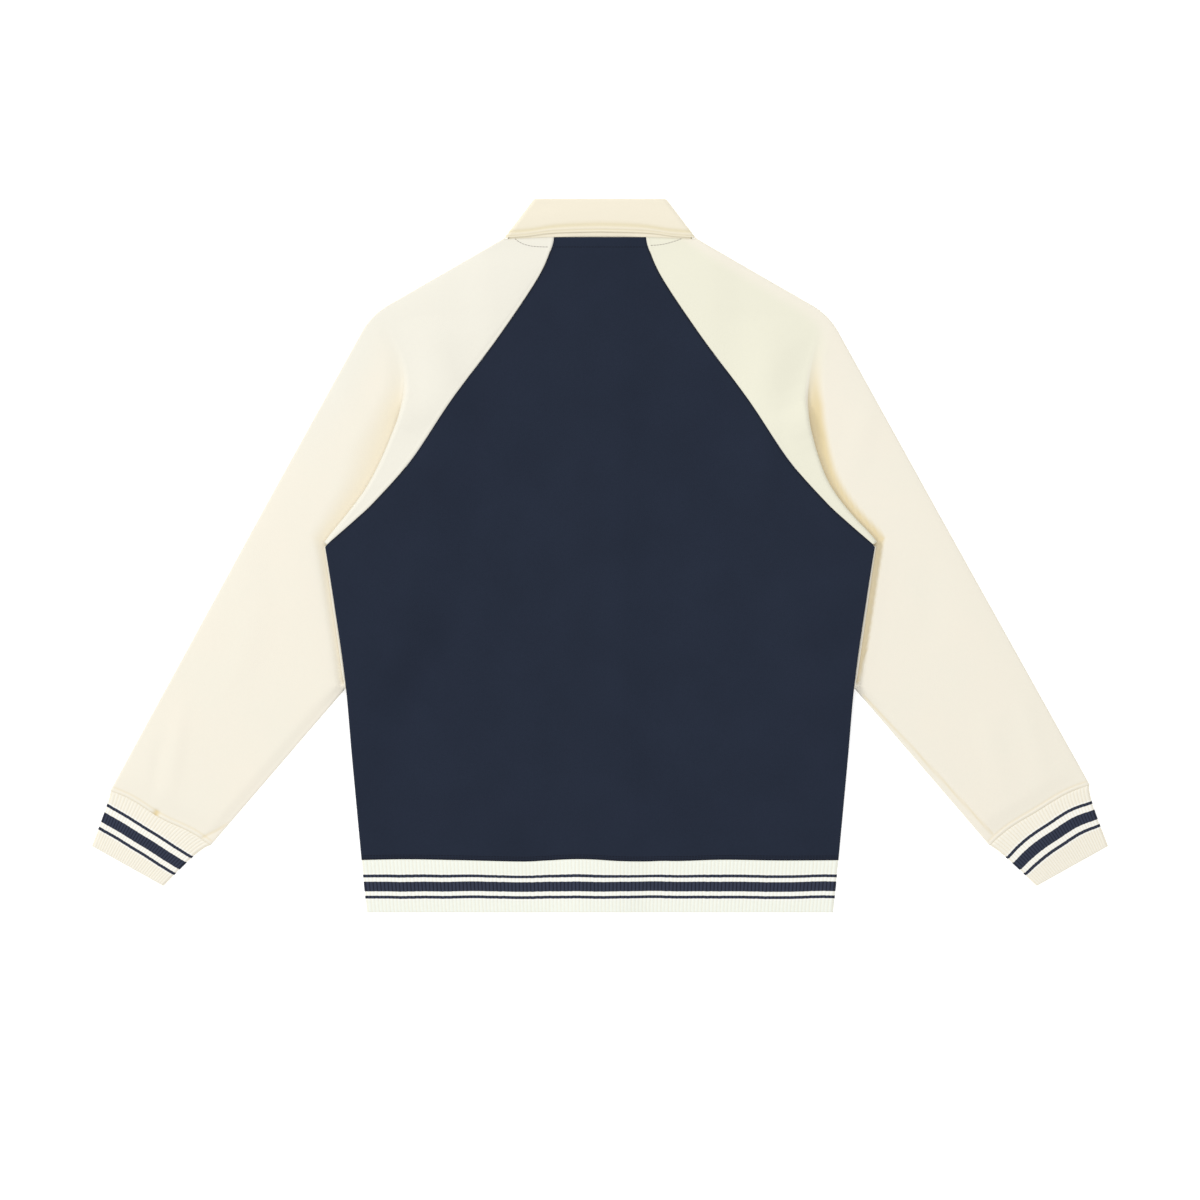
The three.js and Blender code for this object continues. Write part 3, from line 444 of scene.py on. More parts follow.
def stitch_mask(tree, half_width=0.42, stitch=3.1):
    """1 on the thread: close to the row across, and inside a stitch along it."""
    away = math_node(tree, "ABSOLUTE", mark_value(tree, "stitch"))
    near = math_node(tree, "SUBTRACT", half_width, away)
    row = math_node(tree, "MULTIPLY", near, 5.0, clamp=True)
    part = math_node(tree, "FRACT", math_node(tree, "DIVIDE", mark_value(tree, "run"), stitch))
    middle = math_node(tree, "ABSOLUTE", math_node(tree, "SUBTRACT", part, 0.5))
    dash = math_node(tree, "MULTIPLY", math_node(tree, "SUBTRACT", 0.4, middle), 12.0, clamp=True)
    return math_node(tree, "MULTIPLY", row, dash)


def jersey(name, light, dark, painted_shade, thread, sheen=0.08, knit=0.0011, cool=None):
    """Jersey: mottled between a light and a dark tone, cooler where the cool mark says so, mixed towards
    a painted shade colour where the fold mark says so, with a knit bump."""
    material, tree, shader = start_material(name, 0.88, sheen)
    place = add_node(tree, "ShaderNodeTexCoord").outputs["Object"]
    broad = noise(tree, place, 14.0, 3.0)
    fine = noise(tree, place, 420.0, 2.0, 0.7)
    tone = math_node(tree, "ADD", math_node(tree, "MULTIPLY", broad, 0.6), math_node(tree, "MULTIPLY", fine, 0.4))
    cloth = mix_colours(tree, tone, dark, light)
    if cool:
        cloth = mix_colours(tree, mark_value(tree, "cool"), cloth, cool)
    # Painted shade: the fold mark mixes the cloth towards the painted shade colour in troughs, creases and seams.
    folded = mix_colours(tree, mark_value(tree, "fold"), cloth, painted_shade)
    sewn = stitch_mask(tree)
    colour = mix_colours(tree, sewn, folded, thread)
    tree.links.new(colour, shader.inputs["Base Color"])
    weave = add_node(tree, "ShaderNodeBump", {"Height": knit_height(tree, place, knit)})
    weave.inputs["Strength"].default_value = 0.35
    weave.inputs["Distance"].default_value = 0.0003
    sunk = add_node(tree, "ShaderNodeBump", {"Height": sewn, "Normal": weave.outputs[0]})
    sunk.inputs["Strength"].default_value = 0.6
    sunk.inputs["Distance"].default_value = 0.0004
    tree.links.new(sunk.outputs[0], shader.inputs["Normal"])
    return material


CREAM = from_screen(236, 228, 213)
CREAM_DARK = from_screen(230, 227, 213)
# Painted shade: the warm deep cream that troughs, creases and seams are mixed towards.
PAINTED_SHADE_CREAM = from_screen(222, 205, 163)
CREAM_COOL = {"left": from_screen(229, 226, 214), "right": from_screen(227, 225, 207)}
NAVY = from_screen(35, 43, 60)
NAVY_DARK = from_screen(25, 32, 46)
cream_jersey = {}
for side_name, cool_tone in CREAM_COOL.items():
    cream_jersey[side_name] = jersey(f"cream_jersey_{side_name}", CREAM, CREAM_DARK, PAINTED_SHADE_CREAM,
                                     from_screen(150, 144, 134), cool=cool_tone)
# The third colour of the collar and navy jerseys is painted shade as well.
collar_jersey = jersey("collar_jersey", from_screen(234, 226, 207), from_screen(229, 222, 202),
                       from_screen(212, 200, 160), from_screen(150, 144, 134))
navy_jersey = jersey("navy_jersey", NAVY, NAVY_DARK, from_screen(22, 26, 38), from_screen(20, 23, 34), 0.03)
print("materials:", [material.name for material in bpy.data.materials])

# %% [markdown]
# ## The back panel
# The back is one piece of navy jersey: hem seam, two side seams, two raglan seams that run in to the
# neck, and the collar seam across the top. On the grid, each row is one height and the columns
# spread out to the outline, closer together near the seams, where the cloth rolls down. Below the
# armpit the edge turns round to meet the fronts.

# %% Rows, columns and the wavy hem line that the panels share
EDGE_STEPS = np.array([4.0, 2.8, 1.9, 1.2, 0.6, 0.3])
ROUND_ANGLES = np.radians([90, 74, 58, 41, 24, 7])
HEM_WAVE = [
    {"x": -260, "drop": 0.3}, {"x": -205, "drop": -0.7}, {"x": -150, "drop": 0.2},
    {"x": -84, "drop": 1.7}, {"x": -58, "drop": 0.7}, {"x": -31, "drop": -0.7}, {"x": -8, "drop": -0.5},
    {"x": 20, "drop": 1.2}, {"x": 47, "drop": 1.6}, {"x": 66, "drop": 1.0}, {"x": 86, "drop": 1.1},
    {"x": 130, "drop": -0.2}, {"x": 190, "drop": 0.6}, {"x": 260, "drop": 0.2},
]
hem_wave_line = smooth_reading(HEM_WAVE, "x", "drop")


def hem_shift(x, y, reach=26.0):
    """The drop of the hem seam at x, fading to nothing at reach away from the seam."""
    return -hem_wave_line(x) * (1 - ease(np.abs(y - HEM_SEAM), 0, reach))


def spaced_rows(low, high, step, closest=(0.0, 0.5, 1.2, 2.2, 3.6, 5.4)):
    """Even rows between low and high, with a few close ones at both ends."""
    near = np.asarray(closest)
    count = int(round((high - low - 2 * near[-1]) / step))
    middle = np.linspace(low + near[-1], high - near[-1], count + 1)
    return np.concatenate([low + near[:-1], middle, (high - near[:-1])[::-1]])


def side_columns(sign, out, up, height, layer):
    """Points from the panel's flat part out to its edge. Below the armpit they run round a quarter
    circle to the side seam. Above it they stay flat and end at the raglan seam."""
    centre = (out - OUTER_RADIUS)[:, None]
    ups = np.repeat(up[:, None], len(EDGE_STEPS), axis=1)
    middle = height(sign * centre, up[:, None]) - layer * HALF_PITCH
    angle = ROUND_ANGLES[None, :]
    normal_round = np.stack(np.broadcast_arrays(
        sign * np.cos(angle) + 0 * ups, 0 * ups, layer * np.sin(angle) + 0 * ups), axis=-1)
    place_round = np.stack(np.broadcast_arrays(sign * centre, ups, middle), axis=-1) + normal_round * HALF_PITCH
    flat_x = sign * (out[:, None] - EDGE_STEPS[None, :])
    place_flat = np.stack([flat_x, ups, height(flat_x, ups)], axis=-1)
    normal_flat = np.zeros_like(place_flat)
    normal_flat[..., 2] = 1
    normal_round = normal_round * layer
    rounded = (1 - ease(up, ARMPIT[1] - 4, ARMPIT[1] + 3))[:, None, None]
    return mix(place_flat, place_round, rounded), unit(mix(normal_flat, normal_round, rounded))


def panel_grid(ups, outline, shares, height, layer, signs):
    """Rows at the given heights. Each row has its flat columns at shares of the half width, and
    rounded or seamed columns on the sides named by signs."""
    out = np.where(ups <= ARMPIT[1], side_seam(ups), outline(ups) - SEAM)
    flat_half = out - mix(OUTER_RADIUS, EDGE_STEPS[0], ease(ups, ARMPIT[1] - 4, ARMPIT[1] + 3))
    x = shares[None, :] * flat_half[:, None] if np.ndim(shares) == 1 else shares * flat_half[:, None]
    y = np.repeat(ups[:, None], x.shape[1], axis=1)
    places = np.stack([x, y, height(x, y)], axis=-1)
    normals = np.zeros_like(places)
    normals[..., 2] = 1
    for sign in signs:
        side_places, side_normals = side_columns(sign, out, ups, height, layer)
        if sign > 0:
            places = np.concatenate([places, side_places], axis=1)
            normals = np.concatenate([normals, side_normals], axis=1)
        else:
            places = np.concatenate([side_places[:, ::-1], places], axis=1)
            normals = np.concatenate([side_normals[:, ::-1], normals], axis=1)
    return places, normals


# %% Make the back panel
BACK_CREASES = [
    {"line": [(-175, -262), (-120, -276), (-60, -270)], "width": 13, "height": 0.7},
    {"line": [(40, -288), (110, -276), (180, -284)], "width": 11, "height": 0.6},
    {"line": [(-228, -40), (-190, -70), (-165, -120)], "width": 15, "height": 0.8},
    {"line": [(232, -20), (198, -60), (172, -118)], "width": 14, "height": -0.6},
    {"line": [(-60, 150), (-20, 60), (-40, -40)], "width": 22, "height": 0.5},
    {"line": [(90, 120), (60, 20), (84, -90)], "width": 24, "height": -0.5},
]
NECK_STITCH_UP = 324.0
HEM_STITCH_ROWS = (1.2, 4.6)


def nearest_row(distances):
    """The signed distance to the nearest of several rows of stitches."""
    stacked = np.stack(distances)
    pick = np.argmin(np.abs(stacked), axis=0)
    return np.take_along_axis(stacked, pick[None], axis=0)[0]


def raglan_distance(x, y, outline):
    """Distance to the raglan line: the level distance to it times the cosine of its slope."""
    slope = (outline(y + 2) - outline(y - 2)) / 4
    return np.maximum(outline(y) - np.abs(x), 0) / np.sqrt(1 + slope ** 2)


def dress_panel(places, outline, neck):
    """Adds seam rolls, creases and low waves to a panel's heights, and gives its marks."""
    x, y = places[..., 0], places[..., 1]
    above = ease(y, ARMPIT[1] - 2, ARMPIT[1] + 6)
    to_raglan = raglan_distance(x, np.maximum(y, ARMPIT[1]), outline)
    to_hem = y - HEM_SEAM
    to_neck = neck - y
    roll = seam_roll(to_raglan) * above + seam_roll(to_hem) + seam_roll(to_neck)
    open_cloth = ease(to_hem, 2, 30) * ease(to_neck, 2, 30) * ease(to_raglan, 2, 25)
    places[..., 2] += roll + (crease_height(x, y, BACK_CREASES) + unevenness(x, y)) * open_cloth
    places[..., 1] += hem_shift(x, y)
    # Painted shade: the fold mark darkens the cloth along the raglan and hem seams, where it rolls down.
    fold = 0.8 * np.exp(-((to_raglan / 2.0) ** 2)) * above + 0.6 * np.exp(-((to_hem / 1.6) ** 2))
    rows = [to_hem - HEM_STITCH_ROWS[0], to_hem - HEM_STITCH_ROWS[1], y - NECK_STITCH_UP]
    return {"stitch": nearest_row(rows), "run": x, "fold": fold}


back_ups = spaced_rows(HEM_SEAM + SEAM, BACK_NECK - SEAM, 3.2)
back_shares = np.sin(np.linspace(-1, 1, 151) * np.pi / 2 * 0.82) / np.sin(np.pi / 2 * 0.82)
places, normals = panel_grid(back_ups, back_raglan, back_shares, back_height, 1, (-1, 1))
pattern = places[..., :2] * MM
marks = dress_panel(places, back_raglan, BACK_NECK)
back_panel = wall_piece("back_panel_cloth", *faces_from(places, normals), pattern=pattern, marks=marks)
back_panel.data.materials.append(navy_jersey)

# %% [markdown]
# ## The two fronts
# The fronts lie on the floor under the back, and the photo doesn't show them, so they are finished
# plainly: side seam, raglan seam, a scooped neckline and a straight front edge. They overlap at the
# centre by the width of a snap placket. The left one in this view is the outer front.

# %% Make both fronts
FRONT_EASE_FROM = 226.0
FRONT_CREASES = [
    {"line": [(70, -210), (120, -180), (180, -190)], "width": 13, "height": 0.35},
    {"line": [(90, 60), (130, 0), (120, -70)], "width": 18, "height": 0.35},
]
PLACKET_STITCH = 26.0


def make_front(name, sign, height):
    """Columns run from past the centre out to the side. The rows near the top bend down to the
    neckline: the drop is a parabola across, from full at the centre to nothing at the raglan."""
    ups = spaced_rows(HEM_SEAM + SEAM, FRONT_NECK - SEAM, 4.6)
    out = np.where(ups <= ARMPIT[1], side_seam(ups), front_raglan(ups) - SEAM)
    flat_half = out - mix(OUTER_RADIUS, EDGE_STEPS[0], ease(ups, ARMPIT[1] - 4, ARMPIT[1] + 3))
    even = np.linspace(0, 1, 61)
    inner = np.linspace(-OVERLAP, 0, 6)[:-1]
    columns = np.concatenate([np.repeat(inner[None], len(ups), axis=0), even[None] * flat_half[:, None]], axis=1)
    x = sign * columns
    share = np.clip(columns / flat_half[:, None], 0, 1)
    drop = (FRONT_NECK - CENTRE_NECK) * ease(ups, FRONT_EASE_FROM, FRONT_NECK)
    y = ups[:, None] - drop[:, None] * (1 - share ** 2)
    flat = np.stack([x, y, height(x, y)], axis=-1)
    normals = np.zeros_like(flat)
    normals[..., 2] = 1
    side_places, side_normals = side_columns(sign, out, ups, height, -1)
    places = np.concatenate([flat, side_places], axis=1)
    normals = np.concatenate([normals, side_normals], axis=1)
    pattern = places[..., :2] * MM
    x, y = places[..., 0], places[..., 1]
    mirrored = [{**crease, "line": [(sign * a, b) for a, b in crease["line"]]} for crease in FRONT_CREASES]
    free = ease(np.abs(x), 30, 70) * ease(outer_front_height(x, y), FRONT_LEVEL + 0.5, FRONT_LEVEL + 3)
    places[..., 2] += crease_height(x, y, mirrored) * free
    places[..., 1] += hem_shift(x, y)
    to_raglan = raglan_distance(x, np.maximum(y, ARMPIT[1]), front_raglan)
    rows = [y - HEM_SEAM - HEM_STITCH_ROWS[0], y - HEM_SEAM - HEM_STITCH_ROWS[1]]
    # Painted shade: the fold mark darkens the cloth along the raglan seam, where it rolls down.
    marks = {"stitch": nearest_row(rows), "run": x, "fold": 0.7 * np.exp(-((to_raglan / 2) ** 2))}
    piece = wall_piece(name, *faces_from(places, normals), pattern=pattern, marks=marks)
    piece.data.materials.append(navy_jersey)
    return piece


front_left = make_front("front_left_cloth", -1, outer_front_height)
front_right = make_front("front_right_cloth", 1, inner_front_height)

# %% [markdown]
# ## The sleeves
# A raglan sleeve is one piece of cloth closed by the underarm seam. Laid flat it is two layers with
# a round outer edge. Each arm is folded in under the body, so a row across it runs in from the outer
# edge, turns over a hidden fold, comes back out to the fold that shows, turns over that, and runs in
# to the raglan seam. The row's middle line is drawn by walking: each step has a length, and a
# heading that turns only in the two folds. Both layers follow it, one above and one below.

# %% Tables of the sleeve: outer edge, folds and rows
NECK_POINT = (100.6, 332.4)
SHOULDER_BEND = [(222, 263.3), (240.4, 252.8), (250.5, 234.5)]
ARMPIT_ROW_EDGE = (354.9, 45.7)
UNDERARM_LEAVES_BODY = (268.4, -141)
CUFF_SEAM_INNER = (408.8, -304.4)
CUFF_SEAM_OUT = 514.2
CUFF_EDGE_OUTER = (533.6, -305)
CUFF_EDGE_INNER = (458.4, -347)
RAGLANS_PART_ALONG = 0.41
SIDES = {
    "left": {
        "sign": -1, "closes_later": 0.015, "cuff_up": -246.6,
        "fold": [
            {"up": -20, "out": 312}, {"up": 15, "out": 289}, {"up": 40.6, "out": 268.5},
            {"up": 62, "out": 252}, {"up": 80.3, "out": 240.5}, {"up": 101.3, "out": 230},
            {"up": 123.4, "out": 220.5}, {"up": 149.6, "out": 211}, {"up": 179, "out": 206},
            {"up": 200, "out": 207.3}, {"up": 219, "out": 213.2}, {"up": 260, "out": 232},
        ],
    },
    "right": {
        "sign": 1, "closes_later": 0.045, "cuff_up": -240.4,
        "fold": [
            {"up": -20, "out": 314}, {"up": 16.5, "out": 289.4}, {"up": 37.2, "out": 270.3},
            {"up": 51, "out": 258.2}, {"up": 66.6, "out": 246.6}, {"up": 82.2, "out": 237.8},
            {"up": 101.2, "out": 230.5}, {"up": 118.5, "out": 225.3}, {"up": 140, "out": 220.4},
            {"up": 164, "out": 218.5}, {"up": 185, "out": 220}, {"up": 205, "out": 223.2},
            {"up": 234, "out": 230.5}, {"up": 260, "out": 238},
        ],
    },
}
RAGLAN_ROWS = [
    {"along": 0, "turn": 0, "tuck": 0}, {"along": 0.40, "turn": 0, "tuck": 0},
    {"along": 0.46, "turn": 9, "tuck": 0}, {"along": 0.50, "turn": 22, "tuck": 0},
    {"along": 0.54, "turn": 52, "tuck": 0.2}, {"along": 0.57, "turn": 95, "tuck": 1.0},
    {"along": 0.60, "turn": 140, "tuck": 2.6}, {"along": 0.64, "turn": 172, "tuck": 6},
    {"along": 0.68, "turn": 180, "tuck": 10}, {"along": 0.76, "turn": 180, "tuck": 24},
    {"along": 0.84, "turn": 180, "tuck": 40}, {"along": 0.91, "turn": 180, "tuck": 54},
    {"along": 0.968, "turn": 180, "tuck": 62}, {"along": 0.994, "turn": 180, "tuck": 65},
]
ARM_ROWS = [
    {"inner": 0.002, "outer": 0, "turn": 180, "past": 67.95, "free": 66},
    {"inner": 0.12, "outer": 0.09, "turn": 180, "past": 61.95, "free": 60},
    {"inner": 0.25, "outer": 0.18, "turn": 180, "past": 47.95, "free": 46},
    {"inner": 0.34, "outer": 0.25, "turn": 180, "past": 25.95, "free": 24},
    {"inner": 0.375, "outer": 0.277, "turn": 180, "past": 9.95, "free": 8},
    {"inner": 0.39, "outer": 0.289, "turn": 150, "past": 3.0, "free": 1.5},
    {"inner": 0.402, "outer": 0.299, "turn": 80, "past": -3.5, "free": 1.5},
    {"inner": 0.412, "outer": 0.307, "turn": 0, "past": -10.05, "free": 1.5},
    {"inner": 0.58, "outer": 0.5, "turn": 0, "past": -10.05, "free": 1.5},
    {"inner": 1, "outer": 1, "turn": 0, "past": -10.05, "free": 1.5},
]
FOLD_LENGTH = np.pi * PITCH
SEAM_STRIP = 4.0
STEPS = {"arm": 40, "fold": 8, "tuck": 3, "flap": 24, "strip": 5}
FLAP_START = STEPS["arm"] + 2 * STEPS["fold"] + STEPS["tuck"]
FLAP_END = FLAP_START + STEPS["flap"]
EDGE_TURN_STEPS = 6


# %% Places along the sleeve's edges
def along_path(points, shares):
    """Points at shares of a broken line's length."""
    points = np.asarray(points, float)
    walked = np.concatenate([[0], np.cumsum(np.hypot(*np.diff(points, axis=0).T))])
    place = np.asarray(shares) * walked[-1]
    return np.stack([np.interp(place, walked, points[:, k]) for k in (0, 1)], axis=-1)


def shoulder_path():
    """Straight from the neck to the bend, a quadratic curve round it, and straight to the armpit
    row: one minus t squared of the first point, two t times one minus t of the corner, and t squared
    of the last."""
    before, corner, after = np.array(SHOULDER_BEND, float)
    t = np.linspace(0, 1, 40)[:, None]
    bend = (1 - t) ** 2 * before + 2 * t * (1 - t) * corner + t ** 2 * after
    return np.vstack([NECK_POINT, bend, ARMPIT_ROW_EDGE])


def read_rows(table, key, shares):
    """Every column of a table at the given places, in straight lines between its rows."""
    keys = [row[key] for row in table]
    return {name: np.interp(shares, keys, [row[name] for row in table]) for name in table[0]}


def fold_distance(edge, direction, reach, outline):
    """How far along each row its fold lies: the first sample inside the fold's outline, moved back
    in proportion to the crossing."""
    u = np.linspace(0, 1, 400)[None, :] * reach[:, None]
    x = edge[:, :1] + direction[:, :1] * u
    y = edge[:, 1:] + direction[:, 1:] * u
    outside = x - outline(y)
    first = np.clip(np.argmax(outside <= 0, axis=1), 1, None)
    row = np.arange(len(edge))
    before, after = outside[row, first - 1], outside[row, first]
    back = np.where(before > 0, after / np.minimum(after - before, -1e-6), 0)
    return u[row, first] - back * (u[row, 1] - u[row, 0])


# %% [markdown]
# The rows below are worked out all at once. For every row the lengths of its five stretches are
# known: arm, hidden fold, tuck, the fold that shows, and flap. Near the shoulder there is no tuck
# yet and the row is a straight line, so its stretches share it out.

# %% Lengths of the stretches of every row
def raglan_lengths(rows, edge, direction, reach, outline):
    """The arm ends where the outermost point of the next fold comes out on the fold's outline. With
    a bend of radius r turned by an angle, that point lies two r sines of it, less r, the cloth's
    outer radius and the tuck's share, away. The flap takes what is left over."""
    turn = np.radians(rows["turn"])
    sine = FOLD_LENGTH * np.sinc(turn / np.pi)
    radius = np.where(turn > 1.0, FOLD_LENGTH / np.maximum(turn, 1.0), 0.0)
    folded_over = radius + OUTER_RADIUS - 2 * sine
    sloping = OUTER_RADIUS * np.sin(turn) - sine
    room = np.where(turn > np.pi / 2, folded_over, sloping) - rows["tuck"] * np.minimum(np.cos(turn), 0)
    plain = reach - SEAM - SEAM_STRIP - 2 * FOLD_LENGTH
    visible = fold_distance(edge, direction, reach, outline)
    folded = ease(rows["along"], 0.22, 0.40)
    arm = mix(plain * 0.5, np.maximum(visible + room, 8.0), folded)
    tuck = mix(plain * 0.05, np.maximum(rows["tuck"], 0.3), folded)
    bend = FOLD_LENGTH * np.sinc(turn / np.pi)
    left = np.maximum(reach - SEAM - arm - 2 * bend - tuck * np.cos(turn), 0.5)
    strip = np.minimum(SEAM_STRIP, left / 2)
    fold = np.full_like(arm, FOLD_LENGTH)
    return {"arm": arm, "tuck": tuck, "fold": fold, "flap": left - strip, "strip": strip, "shows": visible}


def arm_lengths(rows, reach):
    """Below the armpit the tube folds once. Past the tuck its last stretches share its width."""
    total = reach - OUTER_RADIUS
    plain = ease(rows["inner"], 0.46, 0.66)
    arm = mix(reach + rows["past"], total * 0.5, plain)
    tuck = mix(rows["free"] * 0.3, total * 0.05, plain)
    fold = mix(rows["free"] * 0.4, FOLD_LENGTH, plain)
    rest = total - arm - FOLD_LENGTH - tuck - fold
    flap = np.where(plain > 0, rest, rows["free"] * 0.3)
    return {"arm": arm, "tuck": tuck, "fold": fold, "flap": flap, "strip": 0 * arm, "shows": reach}


def walk(lengths, turn, closed):
    """Middle line of each row: headings add up the turning of the steps before, each step is a chord
    of its own arc, and the points add up the steps."""
    parts = [
        (lengths["arm"], STEPS["arm"], 0 * turn),
        (np.full_like(turn, FOLD_LENGTH), STEPS["fold"], turn),
        (lengths["tuck"], STEPS["tuck"], 0 * turn),
        (lengths["fold"], STEPS["fold"], np.where(closed, 0, -turn)),
        (lengths["flap"], STEPS["flap"], 0 * turn),
        (lengths["strip"], STEPS["strip"], 0 * turn),
    ]
    step = np.concatenate([np.repeat((length / n)[:, None], n, axis=1) for length, n, _ in parts], axis=1)
    bend = np.concatenate([np.repeat((angle / n)[:, None], n, axis=1) for _, n, angle in parts], axis=1)
    heading = np.cumsum(bend, axis=1) - bend / 2
    chord = step * np.sinc(bend / 2 / np.pi)
    start = np.zeros((len(turn), 1))
    u = np.concatenate([start, np.cumsum(chord * np.cos(heading), axis=1)], axis=1)
    z = np.concatenate([start, np.cumsum(chord * np.sin(heading), axis=1)], axis=1)
    return u, z


# %% One layer of every row, lifted by what lies under it
TROUGHS = {
    "left": [
        {"up": -160, "bottom": 0, "rise": 15}, {"up": -120, "bottom": 0, "rise": 9},
        {"up": 0, "bottom": 0, "rise": 13},
        {"up": 60, "bottom": 1, "rise": 26}, {"up": 110, "bottom": 1, "rise": 38},
        {"up": 150, "bottom": 0, "rise": 34}, {"up": 175, "bottom": 0, "rise": 26},
        {"up": 205, "bottom": 0, "rise": 24}, {"up": 340, "bottom": 0, "rise": 24},
    ],
    "right": [
        {"up": -160, "bottom": 0, "rise": 14}, {"up": -128, "bottom": 1, "rise": 5},
        {"up": -100, "bottom": 6, "rise": 4}, {"up": 10, "bottom": 6, "rise": 5},
        {"up": 50, "bottom": 5, "rise": 7}, {"up": 88, "bottom": 6.5, "rise": 8},
        {"up": 123, "bottom": 10, "rise": 8}, {"up": 158, "bottom": 11, "rise": 10},
        {"up": 192, "bottom": 4, "rise": 14}, {"up": 219, "bottom": 0, "rise": 16},
        {"up": 340, "bottom": 0, "rise": 20},
    ],
}


def trough_share(side_name, u, y, lengths, reach, closed):
    """0 on the trough's bottom beside the fold or the body, and 1 past its rise on the arm."""
    table = TROUGHS[side_name]
    ups = [row["up"] for row in table]
    bottom = np.interp(y, ups, [row["bottom"] for row in table])
    rise = np.interp(y, ups, [row["rise"] for row in table])
    end = np.where(closed, reach, lengths["shows"])[:, None]
    return ease(end - u, bottom, bottom + rise)


def arm_puff(u, share, height=2.4):
    """How far the upper layer stands off the lower one: it rises from the round outer edge and falls
    again into the trough."""
    return height * (1 - np.exp(-np.maximum(u, 0) / 22)) * share


def sleeve_layer(side, edge, target, rows, closed):
    """Plan direction, middle line and unit normals of one layer."""
    across = target - edge
    reach = np.linalg.norm(across, axis=1)
    direction = unit(across)
    outline = smooth_reading(side["fold"], "up", "out")
    open_rows = {name: values[~closed] for name, values in rows.items()}
    arm_rows = {name: values[closed] for name, values in rows.items()}
    upper = raglan_lengths(open_rows, edge[~closed], direction[~closed], reach[~closed], outline)
    lower = arm_lengths(arm_rows, reach[closed])
    lengths = {name: np.concatenate([upper[name], lower[name]]) for name in upper}
    u, z = walk(lengths, np.radians(rows["turn"]), closed)
    x = edge[:, :1] + direction[:, :1] * u
    y = edge[:, 1:] + direction[:, 1:] * u
    lift = tuck_lift(x, y)
    flap_u = u[:, FLAP_START:FLAP_START + 1]
    error = z[:, FLAP_START:FLAP_START + 1] - lift[:, FLAP_START:FLAP_START + 1]
    settling = mix(60.0, 25.0, rows["turn"] / 180)[:, None]
    settled = lift + error * (1 - ease(u - flap_u, 0, settling))
    on_flap = (np.arange(u.shape[1]) >= FLAP_START)[None, :] & ~closed[:, None]
    z = np.where(on_flap, settled, z) + MIDDLE_LEVEL + collar_lift(x, y)
    tangent = np.stack([np.gradient(u, axis=1), np.gradient(z, axis=1)], axis=-1)
    tangent[closed, FLAP_END] = tangent[closed, FLAP_END - 1]
    tangent = unit(tangent)
    normal = np.stack([-tangent[..., 1], tangent[..., 0]], axis=-1)
    return {"direction": direction, "u": u, "z": z, "normal": normal, "tangent": tangent,
            "lengths": lengths, "reach": reach}


def layer_face(layer, distance, closed):
    """The middle line moved along its normal. In closed rows the last points run round the tube's
    end: a quarter circle from the layer to the tip."""
    u = layer["u"] + layer["normal"][..., 0] * distance
    z = layer["z"] + layer["normal"][..., 1] * distance
    tip = np.stack([layer["u"][:, FLAP_END], layer["z"][:, FLAP_END]], axis=-1)[:, None]
    along = layer["tangent"][:, FLAP_END - 1][:, None]
    across = np.stack([-along[..., 1], along[..., 0]], axis=-1)
    angle = (np.arange(1, STEPS["strip"] + 1) / STEPS["strip"] * np.pi / 2)[None, :, None]
    ends = tip + across * np.cos(angle) * distance + along * np.sin(angle) * abs(distance)
    u[closed, FLAP_END + 1:] = ends[closed, :, 0]
    z[closed, FLAP_END + 1:] = ends[closed, :, 1]
    return u, z


# %% [markdown]
# The arms have the creases that folding leaves: long soft ridges from the elbow towards the cuff, a
# pucker where the rib pulls on the cuff seam, and a narrow welt along that seam. The shadowed trough
# beside the fold is real depth, because the flap stands above the arm, and painted shade darkens it
# further; the pucker and the seam lines get painted shade too.

# %% Creases and seams of the arms
ARM_CREASES = {
    "left": [
        {"line": [(455, -262), (447, -215), (438, -150)], "width": 9, "height": 1.2},
        {"line": [(470, -255), (466, -225), (462, -190)], "width": 6, "height": -0.8},
        {"line": [(395, -150), (372, -100), (356, -40)], "width": 16, "height": 0.9},
        {"line": [(300, 190), (268, 165), (240, 120)], "width": 14, "height": 0.7},
        {"line": [(330, -60), (345, -20), (352, 30)], "width": 18, "height": -0.6},
    ],
    "right": [
        {"line": [(470, -238), (455, -190), (440, -140)], "width": 11, "height": 0.9},
        {"line": [(430, -255), (415, -215), (404, -160)], "width": 13, "height": 0.8},
        {"line": [(300, 180), (276, 130), (262, 80)], "width": 15, "height": 0.8},
        {"line": [(345, -100), (350, -50), (344, 10)], "width": 18, "height": -0.7},
    ],
}
UNDERARM_LINE = {
    "left": [(388, -280.5), (418, -297)],
    "right": [(276, -146.5), (345, -220), (412.7, -293.5)],
}
NECK_STITCH = {
    "left": [(54.6, 324), (61.2, 324.1), (71.1, 324.8), (79.6, 326.8), (85.8, 329.9), (90.3, 333.6)],
    "right": [(52.8, 325.6), (62, 326.2), (70, 327.6), (78, 329.9), (84, 332.1), (91, 335.8)],
}
PUCKER = {"left": (466, -270.5), "right": (449, -273)}
PUCKER_STRENGTH = {"left": 1.0, "right": 0.0}
# Strength of the painted shade in the trough beside the fold, per side.
TROUGH_PAINTED_SHADE = {"left": 0.34, "right": 0.95}
RIM_COOL = {"left": 1.0, "right": 0.0}
RIM_WIDTH = {"left": 44.0, "right": 22.0}


CUFF_BOW = {"left": 1.1, "right": 5.3}
CUFF_WAVE = {"left": 1.3, "right": 1.0}
ARM_AXIS = unit(np.array(CUFF_EDGE_OUTER) + CUFF_EDGE_INNER - (CUFF_SEAM_OUT, -243.5) - np.array(CUFF_SEAM_INNER))


def cuff_seam_bow(side_name, share):
    """How far the cuff's seam bulges up the arm: half a sine wave from one end to the other, and a
    small second wave, as the rib was stretched on unevenly."""
    bow = CUFF_BOW[side_name] * np.sin(np.pi * np.clip(share, 0, 1))
    return bow + CUFF_WAVE[side_name] * np.sin(3 * np.pi * np.clip(share, 0, 1))


